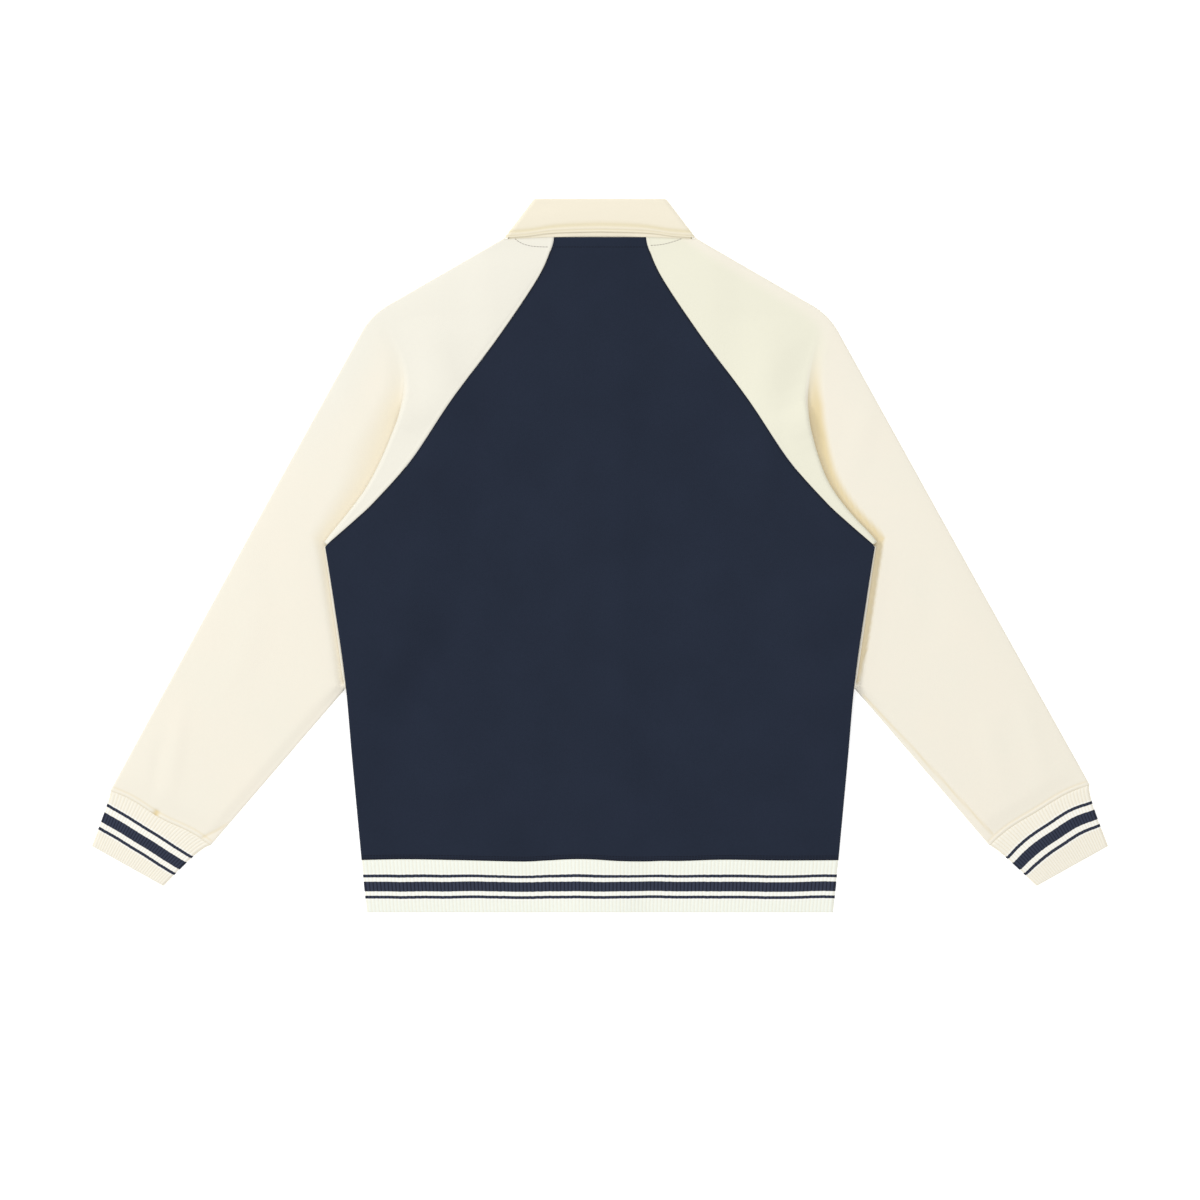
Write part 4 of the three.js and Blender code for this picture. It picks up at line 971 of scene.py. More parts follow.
def dress_arm(side_name, out, y, upper, end_share):
    """Extra height of the upper layer: creases, cuff welt, pucker and the line of the underarm
    seam. end_share is the distance from the cuff seam in millimetres."""
    extra = crease_height(out, y, ARM_CREASES[side_name])
    extra += unevenness(out + 40, y, 1.0) * ease(end_share, 4, 30)
    centre = PUCKER[side_name]
    away = np.hypot(out - centre[0], y - centre[1])
    extra -= 1.8 * PUCKER_STRENGTH[side_name] * np.exp(-((away / 4.0) ** 2))
    welt = 0.7 * np.exp(-(((end_share - 2.4) / 1.5) ** 2)) + seam_roll(end_share, 0.25, 0.9)
    welt += seam_roll(end_share - 4.6, 0.5, 0.9)
    groove, _, _, _ = distance_to_line(out, y, UNDERARM_LINE[side_name])
    extra += welt + seam_roll(groove, 0.8, 1.5)
    return extra * upper, groove, away


# %% Make a sleeve
def sleeve_stations(side):
    """Outline, targets and table values of every row, from the neck down to the cuff seam."""
    along = np.concatenate([np.linspace(0, 0.36, 34), np.linspace(0.366, 0.968, 74), [0.975, 0.982, 0.988, 0.994]])
    inner = np.concatenate([
        np.linspace(0.002, 0.39, 36), np.linspace(0.394, 0.424, 9), np.linspace(0.434, 0.965, 48),
        np.linspace(0.969, 0.997, 11), [0.9985, 1.0],
    ])
    later = side["closes_later"] * ease(along, 0.3, 0.5) * (1 - ease(along, 0.7, 0.9))
    raglan = read_rows(RAGLAN_ROWS, "along", along - later)
    arm = read_rows(ARM_ROWS, "inner", inner)
    back_up = mix(BACK_NECK, ARMPIT[1], along)
    parted = np.maximum(1 - along / RAGLANS_PART_ALONG, 0)
    front_up = mix(mix(BACK_NECK, ARMPIT[1], np.maximum(along, RAGLANS_PART_ALONG)), FRONT_NECK, parted)
    underarm = [(ARMPIT[0] + 1.2, ARMPIT[1]), UNDERARM_LEAVES_BODY, CUFF_SEAM_INNER]
    target = along_path(underarm, inner)
    back_target = np.vstack([np.stack([back_raglan(back_up), back_up], axis=1), target])
    front_target = np.vstack([np.stack([front_raglan(front_up), front_up], axis=1), target])
    cuff_outer = (CUFF_SEAM_OUT, side["cuff_up"])
    outline = np.vstack([along_path(shoulder_path(), along),
                         along_path([ARMPIT_ROW_EDGE, cuff_outer], arm["outer"])])
    edge = outline + unit(back_target - outline) * OUTER_RADIUS
    closed = np.arange(len(edge)) >= len(along)
    blank = np.zeros(len(along))
    rows = {
        "along": np.concatenate([along, np.ones(len(inner))]),
        "inner": np.concatenate([blank, inner]),
        "turn": np.concatenate([raglan["turn"], arm["turn"]]),
        "tuck": np.concatenate([raglan["tuck"], 0 * inner]),
        "past": np.concatenate([blank, arm["past"]]),
        "free": np.concatenate([blank, arm["free"]]),
    }
    return edge, back_target, front_target, rows, closed


def make_sleeve(name, side_name):
    """The ring of each row: upper layer from its end out to the edge, half a circle round the edge,
    and the lower layer back in. The outer face lies one cloth outside the inner one."""
    side = SIDES[side_name]
    edge, back_target, front_target, rows, closed = sleeve_stations(side)
    back = sleeve_layer(side, edge, back_target, rows, closed)
    front = sleeve_layer(side, edge, front_target, rows, closed)
    angle = (np.pi / 2 + np.arange(1, EDGE_TURN_STEPS) / EDGE_TURN_STEPS * np.pi)[None, :]
    rim_direction = unit(back["direction"] + front["direction"])
    faces = []
    for radius in (OUTER_RADIUS, INNER_RADIUS):
        parts = []
        for layer, distance in ((back, radius), (front, -radius)):
            u, z = layer_face(layer, distance, closed)
            x = edge[:, :1] + layer["direction"][:, :1] * u
            y = edge[:, 1:] + layer["direction"][:, 1:] * u
            parts.append(np.stack([x, y, z], axis=-1))
        u = radius * np.cos(angle) + 0 * edge[:, :1]
        z = back["z"][:, :1] + radius * np.sin(angle)
        rim = np.stack([edge[:, :1] + rim_direction[:, :1] * u, edge[:, 1:] + rim_direction[:, 1:] * u, z], axis=-1)
        faces.append([parts[0][:, ::-1], rim, parts[1]])
    shown = faces[0][0]
    out, y = shown[..., 0], shown[..., 1]
    u = back["u"][:, ::-1]
    cuff_line = [CUFF_SEAM_INNER, (CUFF_SEAM_OUT, side["cuff_up"])]
    cuff_away, _, _, _ = distance_to_line(out, y, cuff_line)
    from_end = np.arange(u.shape[1])[None, ::-1]
    upper = np.where(closed[:, None], from_end <= STEPS["arm"], 1.0)
    upper = np.where(closed[:, None] & (rows["turn"][:, None] == 0), from_end <= FLAP_END, upper)
    to_raglan = np.where(closed[:, None], 99.0, np.maximum(back["reach"][:, None] - SEAM - u, 0))
    to_raglan = np.where(from_end >= FLAP_START, to_raglan, 99.0)
    near_edge = 1 - np.exp(-np.maximum(u, 0) / 5)
    near_end = np.where(closed[:, None], 1 - np.exp(-np.maximum(back["reach"][:, None] - u, 0) / 4), 1.0)
    share = trough_share(side_name, u, y, back["lengths"], back["reach"], closed)
    folded = np.where(closed, 1.0, ease(rows["along"], 0.30, 0.60))[:, None]
    share = mix(1 - np.exp(-np.maximum(back["reach"][:, None] - u, 0) / 16), share, folded)
    puff = arm_puff(u, share) * (from_end <= FLAP_END)
    puff = puff * ease(cuff_away, 3, 26) * ease(rows["along"], 0.03, 0.14)[:, None]
    extra, groove, pucker = dress_arm(side_name, out, y, upper * near_edge * near_end, cuff_away)
    raised = puff + extra + seam_roll(to_raglan, 0.3, 0.8) + 0.3 * np.exp(-(((to_raglan - 2.4) / 1.3) ** 2))
    raised = np.where((from_end > FLAP_END) & closed[:, None], 0, raised)
    for face in faces:
        face[0][..., 2] += raised
    rings = [np.concatenate(face, axis=1) for face in faces]
    reach_end = back["reach"][-1] - OUTER_RADIUS
    for ring in rings:
        plan_u = np.einsum("rcj,rj->rc", ring[..., :2] - edge[:, None], back["direction"])
        bulge = cuff_seam_bow(side_name, plan_u / reach_end)
        away_now, _, _, _ = distance_to_line(ring[..., 0], ring[..., 1], cuff_line)
        bulge = bulge * (1 - ease(away_now, 0, 55)) * closed[:, None]
        ring[..., :2] -= ARM_AXIS * bulge[..., None]
        ring[..., 0] *= side["sign"]
    count = rings[0].shape[1]
    layer_size = u.shape[1]
    fill = np.zeros((len(edge), count))
    fold = fill.copy()
    # Painted shade: the fold mark darkens the trough beside the fold and the body, the underarm seam line, the pucker
    # and the cuff seam.
    turned = ease(rows["along"], 0.44, 0.64)[:, None]
    shade = TROUGH_PAINTED_SHADE[side_name] * (1 - share) * (from_end <= STEPS["arm"] + STEPS["fold"])
    past_fold = u - back["lengths"]["shows"][:, None]
    shade = shade * mix(0.75, 1.0, ease(-past_fold, 0, 7))
    painted_shade = shade * np.where(closed[:, None], 0.85 * (rows["turn"][:, None] > 120), turned)
    line_painted_shade = 0.45 * np.exp(-((groove / 1.2) ** 2)) + 1.3 * PUCKER_STRENGTH[side_name] * np.exp(-((pucker / 2.8) ** 2))
    line_painted_shade += 0.3 * np.exp(-((cuff_away / 0.9) ** 2)) + 0.36 * np.exp(-(((cuff_away - 4.6) / 0.9) ** 2))
    fold[:, :layer_size] = np.clip(painted_shade + line_painted_shade * upper, 0, 1)
    on_flap = (from_end >= FLAP_START - STEPS["fold"] // 2) * 1.0
    cool = fill.copy()
    rim = (1 - ease(u, 2, RIM_WIDTH[side_name])) * (1 - ease(rows["along"], 0.55, 0.95))[:, None]
    cool_there = mix(ease(past_fold, -32, 12), on_flap, turned)
    cool[:, :layer_size] = mix(cool_there, RIM_COOL[side_name], rim) * ~closed[:, None]
    stitch = fill + 50.0
    run = fill.copy()
    away, walked, _, beside = distance_to_line(out, y, spline_through(NECK_STITCH[side_name], 4))
    stitch[:, :layer_size] = away * beside
    run[:, :layer_size] = walked
    ring_walk = np.cumsum(np.linalg.norm(np.diff(rings[0], axis=1, prepend=rings[0][:, :1]), axis=-1), axis=1)
    down = np.cumsum(np.linalg.norm(np.diff(edge, axis=0, prepend=edge[:1]), axis=1))
    pattern = np.stack([ring_walk, np.repeat(down[:, None], count, axis=1)], axis=-1) * MM
    marks = {"stitch": stitch, "run": run, "fold": fold, "cool": cool}
    piece = wall_piece(name, rings[0], rings[1], int(np.argmax(closed)), pattern, marks)
    piece.data.materials.append(cream_jersey[side_name])
    return piece


sleeve_left = make_sleeve("sleeve_left_cloth", "left")
sleeve_right = make_sleeve("sleeve_right_cloth", "right")

# %% [markdown]
# ## Rib knit with knitted-in stripes
# The hem and cuffs are two-by-two rib: rounded ribs with narrow valleys. The navy stripes are knitted
# in, so they are colour and not relief, and their edges step a little from rib to rib. The UV map of
# these pieces counts ribs across and millimetres from the seam down, and the material draws the
# stripes from that.

# %% The rib finish
WHITE_MARGIN = 1.8
WHITE_YARN = from_screen(243, 243, 238)


def rib_knit(name, stripes, ground_dark, ground_light, groove, sheen=0.05):
    """Stripes where the distance down lies between two values, shaken a little by noise that reads
    the rib number. The valleys between ribs are darkened with painted shade."""
    material, tree, shader = start_material(name, 0.9, sheen)
    place = add_node(tree, "ShaderNodeTexCoord")
    cut = add_node(tree, "ShaderNodeUVMap", uv_map="cut").outputs[0]
    split = add_node(tree, "ShaderNodeSeparateXYZ", {0: cut})
    rib, down = split.outputs[0], split.outputs[1]
    steps = noise(tree, add_node(tree, "ShaderNodeCombineXYZ", {0: rib}).outputs[0], 0.9, 1.0)
    slow = noise(tree, add_node(tree, "ShaderNodeCombineXYZ", {0: rib}).outputs[0], 0.06, 1.0)
    shake = math_node(tree, "MULTIPLY", math_node(tree, "SUBTRACT", steps, 0.5), 0.9)
    sway = math_node(tree, "MULTIPLY", math_node(tree, "SUBTRACT", slow, 0.5), 3.0)
    down = math_node(tree, "ADD", down, math_node(tree, "ADD", shake, sway))
    striped = None
    for low, high in stripes:
        above = math_node(tree, "MULTIPLY", math_node(tree, "SUBTRACT", down, low), 3.0, clamp=True)
        below = math_node(tree, "MULTIPLY", math_node(tree, "SUBTRACT", high, down), 3.0, clamp=True)
        inside = math_node(tree, "MULTIPLY", above, below)
        striped = inside if striped is None else math_node(tree, "MAXIMUM", striped, inside)
    uneven = math_node(tree, "ADD", math_node(tree, "MULTIPLY", steps, 1.1), 0.15)
    valley = math_node(tree, "MULTIPLY", mark_value(tree, "fold"), uneven)
    mottle = noise(tree, place.outputs["Object"], 380.0, 2.0, 0.7)
    from_first = math_node(tree, "SUBTRACT", down, stripes[0][0] - WHITE_MARGIN)
    to_last = math_node(tree, "SUBTRACT", stripes[-1][1] + WHITE_MARGIN, down)
    white = math_node(tree, "MULTIPLY", math_node(tree, "MULTIPLY", from_first, 1.5, clamp=True),
                      math_node(tree, "MULTIPLY", to_last, 1.5, clamp=True))
    ground = mix_colours(tree, mottle, ground_dark, ground_light)
    ground = mix_colours(tree, math_node(tree, "MULTIPLY", white, 0.75), ground, WHITE_YARN)
    # Painted shade: the rib valleys take the groove colour, and in the stripes a darker navy.
    cream = mix_colours(tree, valley, ground, groove)
    yarn = mix_colours(tree, mottle, from_screen(44, 50, 66), from_screen(56, 62, 80))
    navy = mix_colours(tree, mark_value(tree, "fold"), yarn, from_screen(18, 21, 33))
    colour = mix_colours(tree, striped, cream, navy)
    tree.links.new(colour, shader.inputs["Base Color"])
    loops = math_node(tree, "SINE", math_node(tree, "MULTIPLY", split.outputs[1], 2 * math.pi / 1.3))
    fibres = noise(tree, place.outputs["Object"], 900.0, 2.0, 0.6)
    height = math_node(tree, "ADD", math_node(tree, "MULTIPLY", loops, 0.2), fibres)
    bump = add_node(tree, "ShaderNodeBump", {"Height": height})
    bump.inputs["Strength"].default_value = 0.35
    bump.inputs["Distance"].default_value = 0.0003
    tree.links.new(bump.outputs[0], shader.inputs["Normal"])
    return material


def rib_profile(count, per_rib, height):
    """Height across the ribs: a rounded comb, the absolute cosine to a power under one, which gives
    wide crowns and narrow valleys. Also the valley share, which the material darkens as painted shade."""
    across = np.linspace(0, count, count * per_rib + 1)
    crown = np.abs(np.sin(np.pi * across)) ** 0.7
    return across, height * crown, (1 - crown) ** 2


HEM_STRIPES = [(15.1, 18.5), (22.5, 33.1), (37.2, 40.6)]
CUFF_STRIPES = [(16.3, 19.8), (24.8, 36.0), (42.0, 45.5)]
STRIPE_TILT = {"left": 2.4, "right": 6.0}
STRIPE_BOW = {"left": 0.4, "right": 1.8}
STRIPE_KEEPS_STRAIGHT = {"left": 1.0, "right": 0.0}
# The last colour of each rib knit is the painted shade of its valleys.
hem_rib_knit = rib_knit("hem_rib_knit", HEM_STRIPES, from_screen(231, 234, 224), from_screen(237, 240, 231),
                        from_screen(231, 227, 209))
cuff_rib_knit = rib_knit("cuff_rib_knit", CUFF_STRIPES, from_screen(233, 228, 214), from_screen(239, 235, 222),
                         from_screen(229, 219, 196))

# %% [markdown]
# ## The cuffs
# A cuff is a short tube of rib, narrower than the sleeve that it gathers. Laid flat it is a ring of
# two layers with round ends. Its ribs stand up on the upper layer. Underneath, where it rests, the
# ribs keep one level and only the valleys are cut in.

# %% Make both cuffs
RIB_HEIGHT = 0.5
CUFF_WAIST = {"left": (1.4, 3.2), "right": (3.0, 1.8)}
CUFF_RIBS = 31
RIB_POINTS = 6
CUFF_LENGTH = 61.2
CUFF_ROWS = np.concatenate([[0, 0.4, 1.0, 1.9], np.linspace(3.4, 58, 25), [59.6, 60.7, 61.2]]) / CUFF_LENGTH


def make_cuff(name, side_name):
    """Rings between the seam edge and the free edge. Across each ring the upper layer, a half
    circle, the lower layer and a second half circle follow one another."""
    side = SIDES[side_name]
    seam_outer = np.array([CUFF_SEAM_OUT, side["cuff_up"]])
    seam_inner = np.array(CUFF_SEAM_INNER)
    along = unit(np.array(CUFF_EDGE_OUTER) + CUFF_EDGE_INNER - seam_outer - seam_inner)
    start_outer, start_inner = seam_outer + along * SEAM, seam_inner + along * SEAM
    row = CUFF_ROWS[:, None]
    waist = np.sin(np.pi * row ** 0.55)
    outer = mix(start_outer, np.array(CUFF_EDGE_OUTER), row)
    inner = mix(start_inner, np.array(CUFF_EDGE_INNER), row)
    direction = unit(inner - outer)
    outer_waist, inner_waist = CUFF_WAIST[side_name]
    outer, inner = outer + direction * waist * outer_waist, inner - direction * waist * inner_waist
    width = np.linalg.norm(inner - outer, axis=1, keepdims=True) - 2 * OUTER_RADIUS
    origin = outer + direction * OUTER_RADIUS
    rib, height, valley = rib_profile(CUFF_RIBS, RIB_POINTS, RIB_HEIGHT)
    share = (rib / CUFF_RIBS)[None, :]
    half_turn = np.linspace(0, np.pi, 7)[1:-1][None, :]
    edge_soft = np.minimum(1, np.minimum(CUFF_ROWS, 1 - CUFF_ROWS) * CUFF_LENGTH / 1.6)[:, None]
    loft = 1.3 * np.sin(np.pi * share) ** 0.6 * np.sin(np.pi * np.clip(row, 0.03, 0.92))
    welt = seam_roll(CUFF_ROWS * CUFF_LENGTH, 0.2, 1.2)[:, None]
    faces = []
    for radius, is_outer in ((OUTER_RADIUS, 1.0), (INNER_RADIUS, 0.0)):
        u_top = share[:, ::-1] * width
        z_top = MIDDLE_LEVEL + radius + is_outer * height[::-1][None] * edge_soft + loft[:, ::-1] + welt
        u_left = -radius * np.sin(half_turn) + 0 * width
        z_left = MIDDLE_LEVEL + radius * np.cos(half_turn) + 0 * width
        u_low = share * width
        z_low = MIDDLE_LEVEL - radius + is_outer * (RIB_HEIGHT - height)[None] * 0.5 + 0 * width
        u_right = width + radius * np.sin(half_turn)
        z_right = MIDDLE_LEVEL - radius * np.cos(half_turn) + 0 * width
        u = np.concatenate([u_top, u_left, u_low, u_right, u_top[:, :1]], axis=1)
        z = np.concatenate([z_top, z_left, z_low, z_right, z_top[:, :1]], axis=1)
        plan = origin[:, None] + direction[:, None] * u[..., None]
        bulge = cuff_seam_bow(side_name, u / width) * (1 - row ** 2)
        plan = plan - ARM_AXIS * bulge[..., None]
        faces.append(np.concatenate([plan, z[..., None]], axis=-1))
    for face in faces:
        face[..., 0] *= side["sign"]
    gap = np.full(half_turn.shape[1], 0.3)
    # Painted shade: the rib valleys and the round ends take a share of the valley colour.
    painted_shade_share = np.concatenate([valley[::-1], gap, valley, gap, valley[-1:]])
    number = np.concatenate([rib[::-1], -0.5 + 0 * gap, -rib - 1, -CUFF_RIBS - 1.5 + 0 * gap, rib[-1:]])
    outer_side = np.linalg.norm(np.array(CUFF_EDGE_OUTER) - start_outer)
    inner_side = np.linalg.norm(np.array(CUFF_EDGE_INNER) - start_inner)
    across = np.concatenate([share[0, ::-1], 0 * gap, share[0], 0 * gap + 1, share[0, -1:]])[None]
    from_free_edge = mix(outer_side, inner_side, across) * (1 - row) - STRIPE_TILT[side_name] * (1 - across)
    from_free_edge = from_free_edge - STRIPE_BOW[side_name] * np.sin(np.pi * across)
    bowed = cuff_seam_bow(side_name, across) * (1 - row ** 2)
    from_free_edge = from_free_edge + STRIPE_KEEPS_STRAIGHT[side_name] * bowed
    pattern = np.stack(np.broadcast_arrays(number[None], from_free_edge), axis=-1)
    marks = {"fold": np.broadcast_to(painted_shade_share, faces[0].shape[:2])}
    piece = wall_piece(name, faces[0], faces[1], 0, pattern, marks)
    piece.data.materials.append(cuff_rib_knit)
    return piece


cuff_left = make_cuff("cuff_left_rib", "left")
cuff_right = make_cuff("cuff_right_rib", "right")

# %% [markdown]
# ## The hem
# The hem is one band of the same rib. It starts at the outer front's edge, runs under the jacket to
# the left side, round it, across the whole back, round the right side and back to the inner front's
# edge. Its seam line wavers by a millimetre or two where the rib was stretched on.

# %% Make the hem band
HEM_RIBS = 125
HEM_POINTS = 5
HEM_ROWS = np.concatenate([[0, 0.4, 1.0, 1.9], np.linspace(3.4, 52.2, 15), [53.4, 54.3, 54.95]]) / 54.95


def make_hem(name):
    """Each row is one line of points with its normals: front, half circle, back, half circle and
    front. The ribs are added along the normal on the back and cut in on the fronts."""
    ups = mix(HEM_SEAM - SEAM, HEM_EDGE, HEM_ROWS)[:, None]
    centre = side_seam(ups) - OUTER_RADIUS
    rib, height, valley = rib_profile(HEM_RIBS, HEM_POINTS, RIB_HEIGHT)
    half_ribs = 65
    front_rib, front_height, front_valley = rib_profile(half_ribs, HEM_POINTS, RIB_HEIGHT)
    front_share = (front_rib / half_ribs)[None, :]
    turn = np.linspace(0, np.pi, 7)[1:-1][None, :]
    down = np.array([0.0, 0.0, -1.0])
    up = np.array([0.0, 0.0, 1.0])
    soft = np.minimum(1, np.minimum(HEM_ROWS * 54.95, (1 - HEM_ROWS) * 54.95) / 1.6)[:, None]

    def stretch(x, z, normal, raised):
        places = np.stack(np.broadcast_arrays(x, ups + hem_shift(x, ups), z), axis=-1)
        return places, np.broadcast_to(normal, places.shape), np.broadcast_to(raised, places.shape[:2])

    x_outer = mix(OVERLAP, -centre, front_share)
    x_inner = mix(centre, -OVERLAP, front_share)
    x_back = centre * (2 * rib[None, :] / HEM_RIBS - 1)
    cut = -0.4 * (RIB_HEIGHT - front_height)[None, :] * soft
    left_normal = np.stack([-np.sin(turn), 0 * turn, -np.cos(turn)], axis=-1)
    right_normal = np.stack([np.sin(turn), 0 * turn, np.cos(turn)], axis=-1)
    left_x = -centre - HALF_PITCH * np.sin(turn)
    right_x = centre + HALF_PITCH * np.sin(turn)
    waver = 0.5 * np.sin(x_back / 34 + 0.6) * np.sin(np.pi * np.clip(HEM_ROWS, 0, 1))[:, None]
    roll = seam_roll(HEM_ROWS * 54.95, 0.7, 1.4)[:, None]
    parts = [
        stretch(x_outer, outer_front_height(x_outer, ups), down, cut),
        stretch(left_x, MIDDLE_LEVEL - HALF_PITCH * np.cos(turn) + 0 * centre, left_normal, 0.0),
        stretch(x_back, back_height(x_back, ups) + waver * 0.5 + roll, up, height[None, :] * soft),
        stretch(right_x, MIDDLE_LEVEL + HALF_PITCH * np.cos(turn) + 0 * centre, right_normal, 0.0),
        stretch(x_inner, inner_front_height(x_inner, ups), down, cut),
    ]
    places, normals, raised = (np.concatenate([part[k] for part in parts], axis=1) for k in range(3))
    outer, inner = faces_from(places, normals, raised)
    gap = np.full(turn.shape[1], 0.3)
    # Painted shade: the rib valleys and the round ends take a share of the valley colour.
    painted_shade_share = np.concatenate([front_valley, gap, valley, gap, front_valley])
    number = np.concatenate([front_rib, half_ribs + 0.5 + 0 * gap, half_ribs + 1 + rib,
                             half_ribs + HEM_RIBS + 1.5 + 0 * gap, half_ribs + HEM_RIBS + 2 + front_rib])
    pattern = np.stack(np.broadcast_arrays(number[None], HEM_ROWS[:, None] * 54.95), axis=-1)
    marks = {"fold": np.broadcast_to(painted_shade_share, places.shape[:2])}
    piece = wall_piece(name, outer, inner, None, pattern, marks)
    piece.data.materials.append(hem_rib_knit)
    return piece


hem_rib = make_hem("hem_rib_band")

# %% [markdown]
# ## The collar
# The collar is a low stand with a fall that folds over it. Laid flat the ring is pressed flat too:
# the back half lies on the front half. A station runs round the ring and knows where the neck seam,
# the fold and the free edge lie on the plan, and each leaf is a straight run between two of them. At
# the sides the leaves turn over through half a circle.

# %% Stations round the collar
COLLAR_BACK = {"seam": 98.5, "fold": 69.5, "edge": 100.4}
COLLAR_BACK_EDGE = [
    {"share": 0, "up": 339.6}, {"share": 0.5, "up": 338.4}, {"share": 0.8, "up": 335}, {"share": 1, "up": 333.8},
]
COLLAR_FRONT = {
    "seam": [(98.5, 332.6), (91.4, 299), (79.4, 263.4), (43, 251), (2, 245.6)],
    "fold": [(69.5, COLLAR_TOP), (60, 336), (47, 304), (27, 290), (2, 285)],
    "edge": [(100.4, 333.8), (110, 285), (98, 245), (76, 216), (60, 207)],
}
NECK_EDGE_OUT = (48.7, NECK_POINT[0])
NECK_EDGE_UP = (BACK_NECK, NECK_POINT[1])
COLLAR_LEVEL = MIDDLE_LEVEL + PITCH
STAND_LEVEL = HALF_PITCH
FALL_LEVEL = HALF_PITCH + PITCH
collar_edge_up = smooth_reading(COLLAR_BACK_EDGE, "share", "up")


def collar_stations(front=26, side=10, back=90):
    """Sign, share and angle of every station: share runs to 1 at the centre front, or from minus 1
    to 1 across the back, and the angle turns half round at the sides."""
    to_front = np.arange(front, 0, -1) / front
    turning = np.linspace(-90, 90, side + 1)
    across = np.linspace(-1, 1, back + 1)[1:-1]
    sign = np.concatenate([-np.ones(front), -np.ones(side + 1), 0 * across, np.ones(side + 1), np.ones(front)])
    share = np.concatenate([to_front, 0 * turning, across, 0 * turning, to_front[::-1]])
    angle = np.concatenate([-90 + 0 * to_front, turning, 90 + 0 * across, turning[::-1], -90 + 0 * to_front])
    return sign, share, np.radians(angle)


def collar_plan(sign, share):
    """Plan places of the seam, the fold and the fall's edge at every station."""
    plan = {}
    for name, table in COLLAR_FRONT.items():
        line = spline_through(table, 12)
        key = np.linspace(0, 1, len(line))
        front = np.stack([sign * np.interp(share, key, line[:, 0]), np.interp(share, key, line[:, 1])], axis=-1)
        back_out = COLLAR_BACK[name] * share
        neck_up = np.interp(np.abs(back_out), NECK_EDGE_OUT, NECK_EDGE_UP) + SEAM
        back_up = {"seam": neck_up, "fold": COLLAR_TOP + 0 * share, "edge": collar_edge_up(np.abs(share))}[name]
        back = np.stack([back_out, back_up], axis=-1)
        plan[name] = np.where((sign == 0)[:, None], back, front)
    return plan


def collar_points(plan, sign, share, angle, level):
    """A plan place moved out of the ring's middle by a level, after the sides have been drawn in by
    the radius of their turn."""
    drawn = np.where(sign == 0, share, sign * (1 - share)) * (FALL_LEVEL + HALF_CLOTH)
    x = plan[..., 0] - drawn + sign * np.cos(angle) * level
    z = COLLAR_LEVEL + np.sin(angle) * level + 0 * x
    return np.stack([x, plan[..., 1], z], axis=-1)


# %% Make the stand
sign, share, angle = collar_stations()
collar = collar_plan(sign, share)
on_back = ease(np.sin(angle), 0.2, 1.0)


def make_stand(name):
    """Straight from the neck seam almost to the fold. The seam edge rolls down a little."""
    rows = np.array([0, 0.02, 0.05, 0.1, 0.2, 0.35, 0.5, 0.7, 0.85, 1.0])[:, None]
    top = mix(collar["fold"], collar["seam"], 0.06)
    plan = mix(collar["seam"][None], top[None], rows[..., None])
    height = np.linalg.norm(top - collar["seam"], axis=1)[None]
    roll = seam_roll(rows * height, 0.2, 1.2) * on_back[None]
    faces = [collar_points(plan, sign[None], share[None], angle[None], STAND_LEVEL + shift)
             for shift in (HALF_CLOTH, -HALF_CLOTH)]
    for face in faces:
        face[..., 2] += roll
    # Painted shade along the neck seam edge of the stand.
    marks = {"stitch": np.full(roll.shape, 50.0), "run": 0 * roll, "fold": 0.25 * np.exp(-((rows * height / 1.3) ** 2))}
    piece = wall_piece(name, faces[0], faces[1], None, faces[0][..., :2] * MM, marks)
    piece.data.materials.append(collar_jersey)
    return piece


def make_fall(name):
    """From the free edge up to the fold, then round over the stand. Two shallow grooves run along
    the edge: the edge of the upper leaf and the pressed line of the seam inside."""
    flat_rows = np.array([0, 0.012, 0.03, 0.055, 0.08, 0.105, 0.13, 0.16, 0.19, 0.22, 0.26, 0.32, 0.4,
                          0.48, 0.56, 0.64, 0.72, 0.8, 0.88, 0.94, 1.0])
    turn_rows = np.radians(np.linspace(0, 150, 9)[1:])
    share_rows = np.concatenate([flat_rows, np.ones(len(turn_rows))])[:, None]
    turn = np.concatenate([0 * flat_rows, turn_rows])[:, None]
    slope = unit(collar["fold"] - collar["seam"])[None]
    below = collar["fold"][None] - slope * OUTER_RADIUS
    length = np.linalg.norm(below[0] - collar["edge"], axis=1)[None]
    from_edge = share_rows * length
    groove = -0.55 * np.exp(-(((from_edge - 2.8) / 0.9) ** 2)) - 0.6 * np.exp(-(((from_edge - 8.2) / 1.9) ** 2))
    swell = 0.5 * np.exp(-(((from_edge - 5.2) / 1.8) ** 2)) + 0.7 * np.sin(np.pi * np.clip((from_edge - 10) / 26, 0, 1))
    end_roll = -0.7 * np.exp(-((from_edge / 0.7) ** 2))
    extra = (groove + swell + end_roll) * on_back[None] * (turn == 0)
    faces = []
    for shift in (HALF_CLOTH, -HALF_CLOTH):
        radius = HALF_PITCH + shift
        plan = mix(collar["edge"][None], below, share_rows[..., None])
        plan = plan + slope * (radius * np.sin(turn))[..., None]
        level = FALL_LEVEL - HALF_PITCH + radius * np.cos(turn)
        face = collar_points(plan, sign[None], share[None], angle[None], level)
        face[..., 2] += extra
        faces.append(face)
    # Painted shade in the two grooves and along the free edge of the fall.
    painted_shade_share = 0.55 * np.exp(-(((from_edge - 8.2) / 2.4) ** 2)) + 0.5 * np.exp(-(((from_edge - 2.8) / 0.9) ** 2))
    painted_shade_share += 0.5 * np.exp(-((from_edge / 0.8) ** 2))
    marks = {"stitch": np.full(painted_shade_share.shape, 50.0), "run": 0 * painted_shade_share, "fold": np.clip(painted_shade_share, 0, 1)}
    piece = wall_piece(name, faces[0], faces[1], None, faces[0][..., :2] * MM, marks)
    piece.data.materials.append(collar_jersey)
    return piece


collar_stand = make_stand("collar_stand_cloth")
collar_fall = make_fall("collar_fall_cloth")

# %% [markdown]
# ## The snaps
# Six flat caps close the overlap. The photo hides them, so they are plain enamelled discs. Each is a
# turned profile carried round a circle: a low dome with a rolled rim.

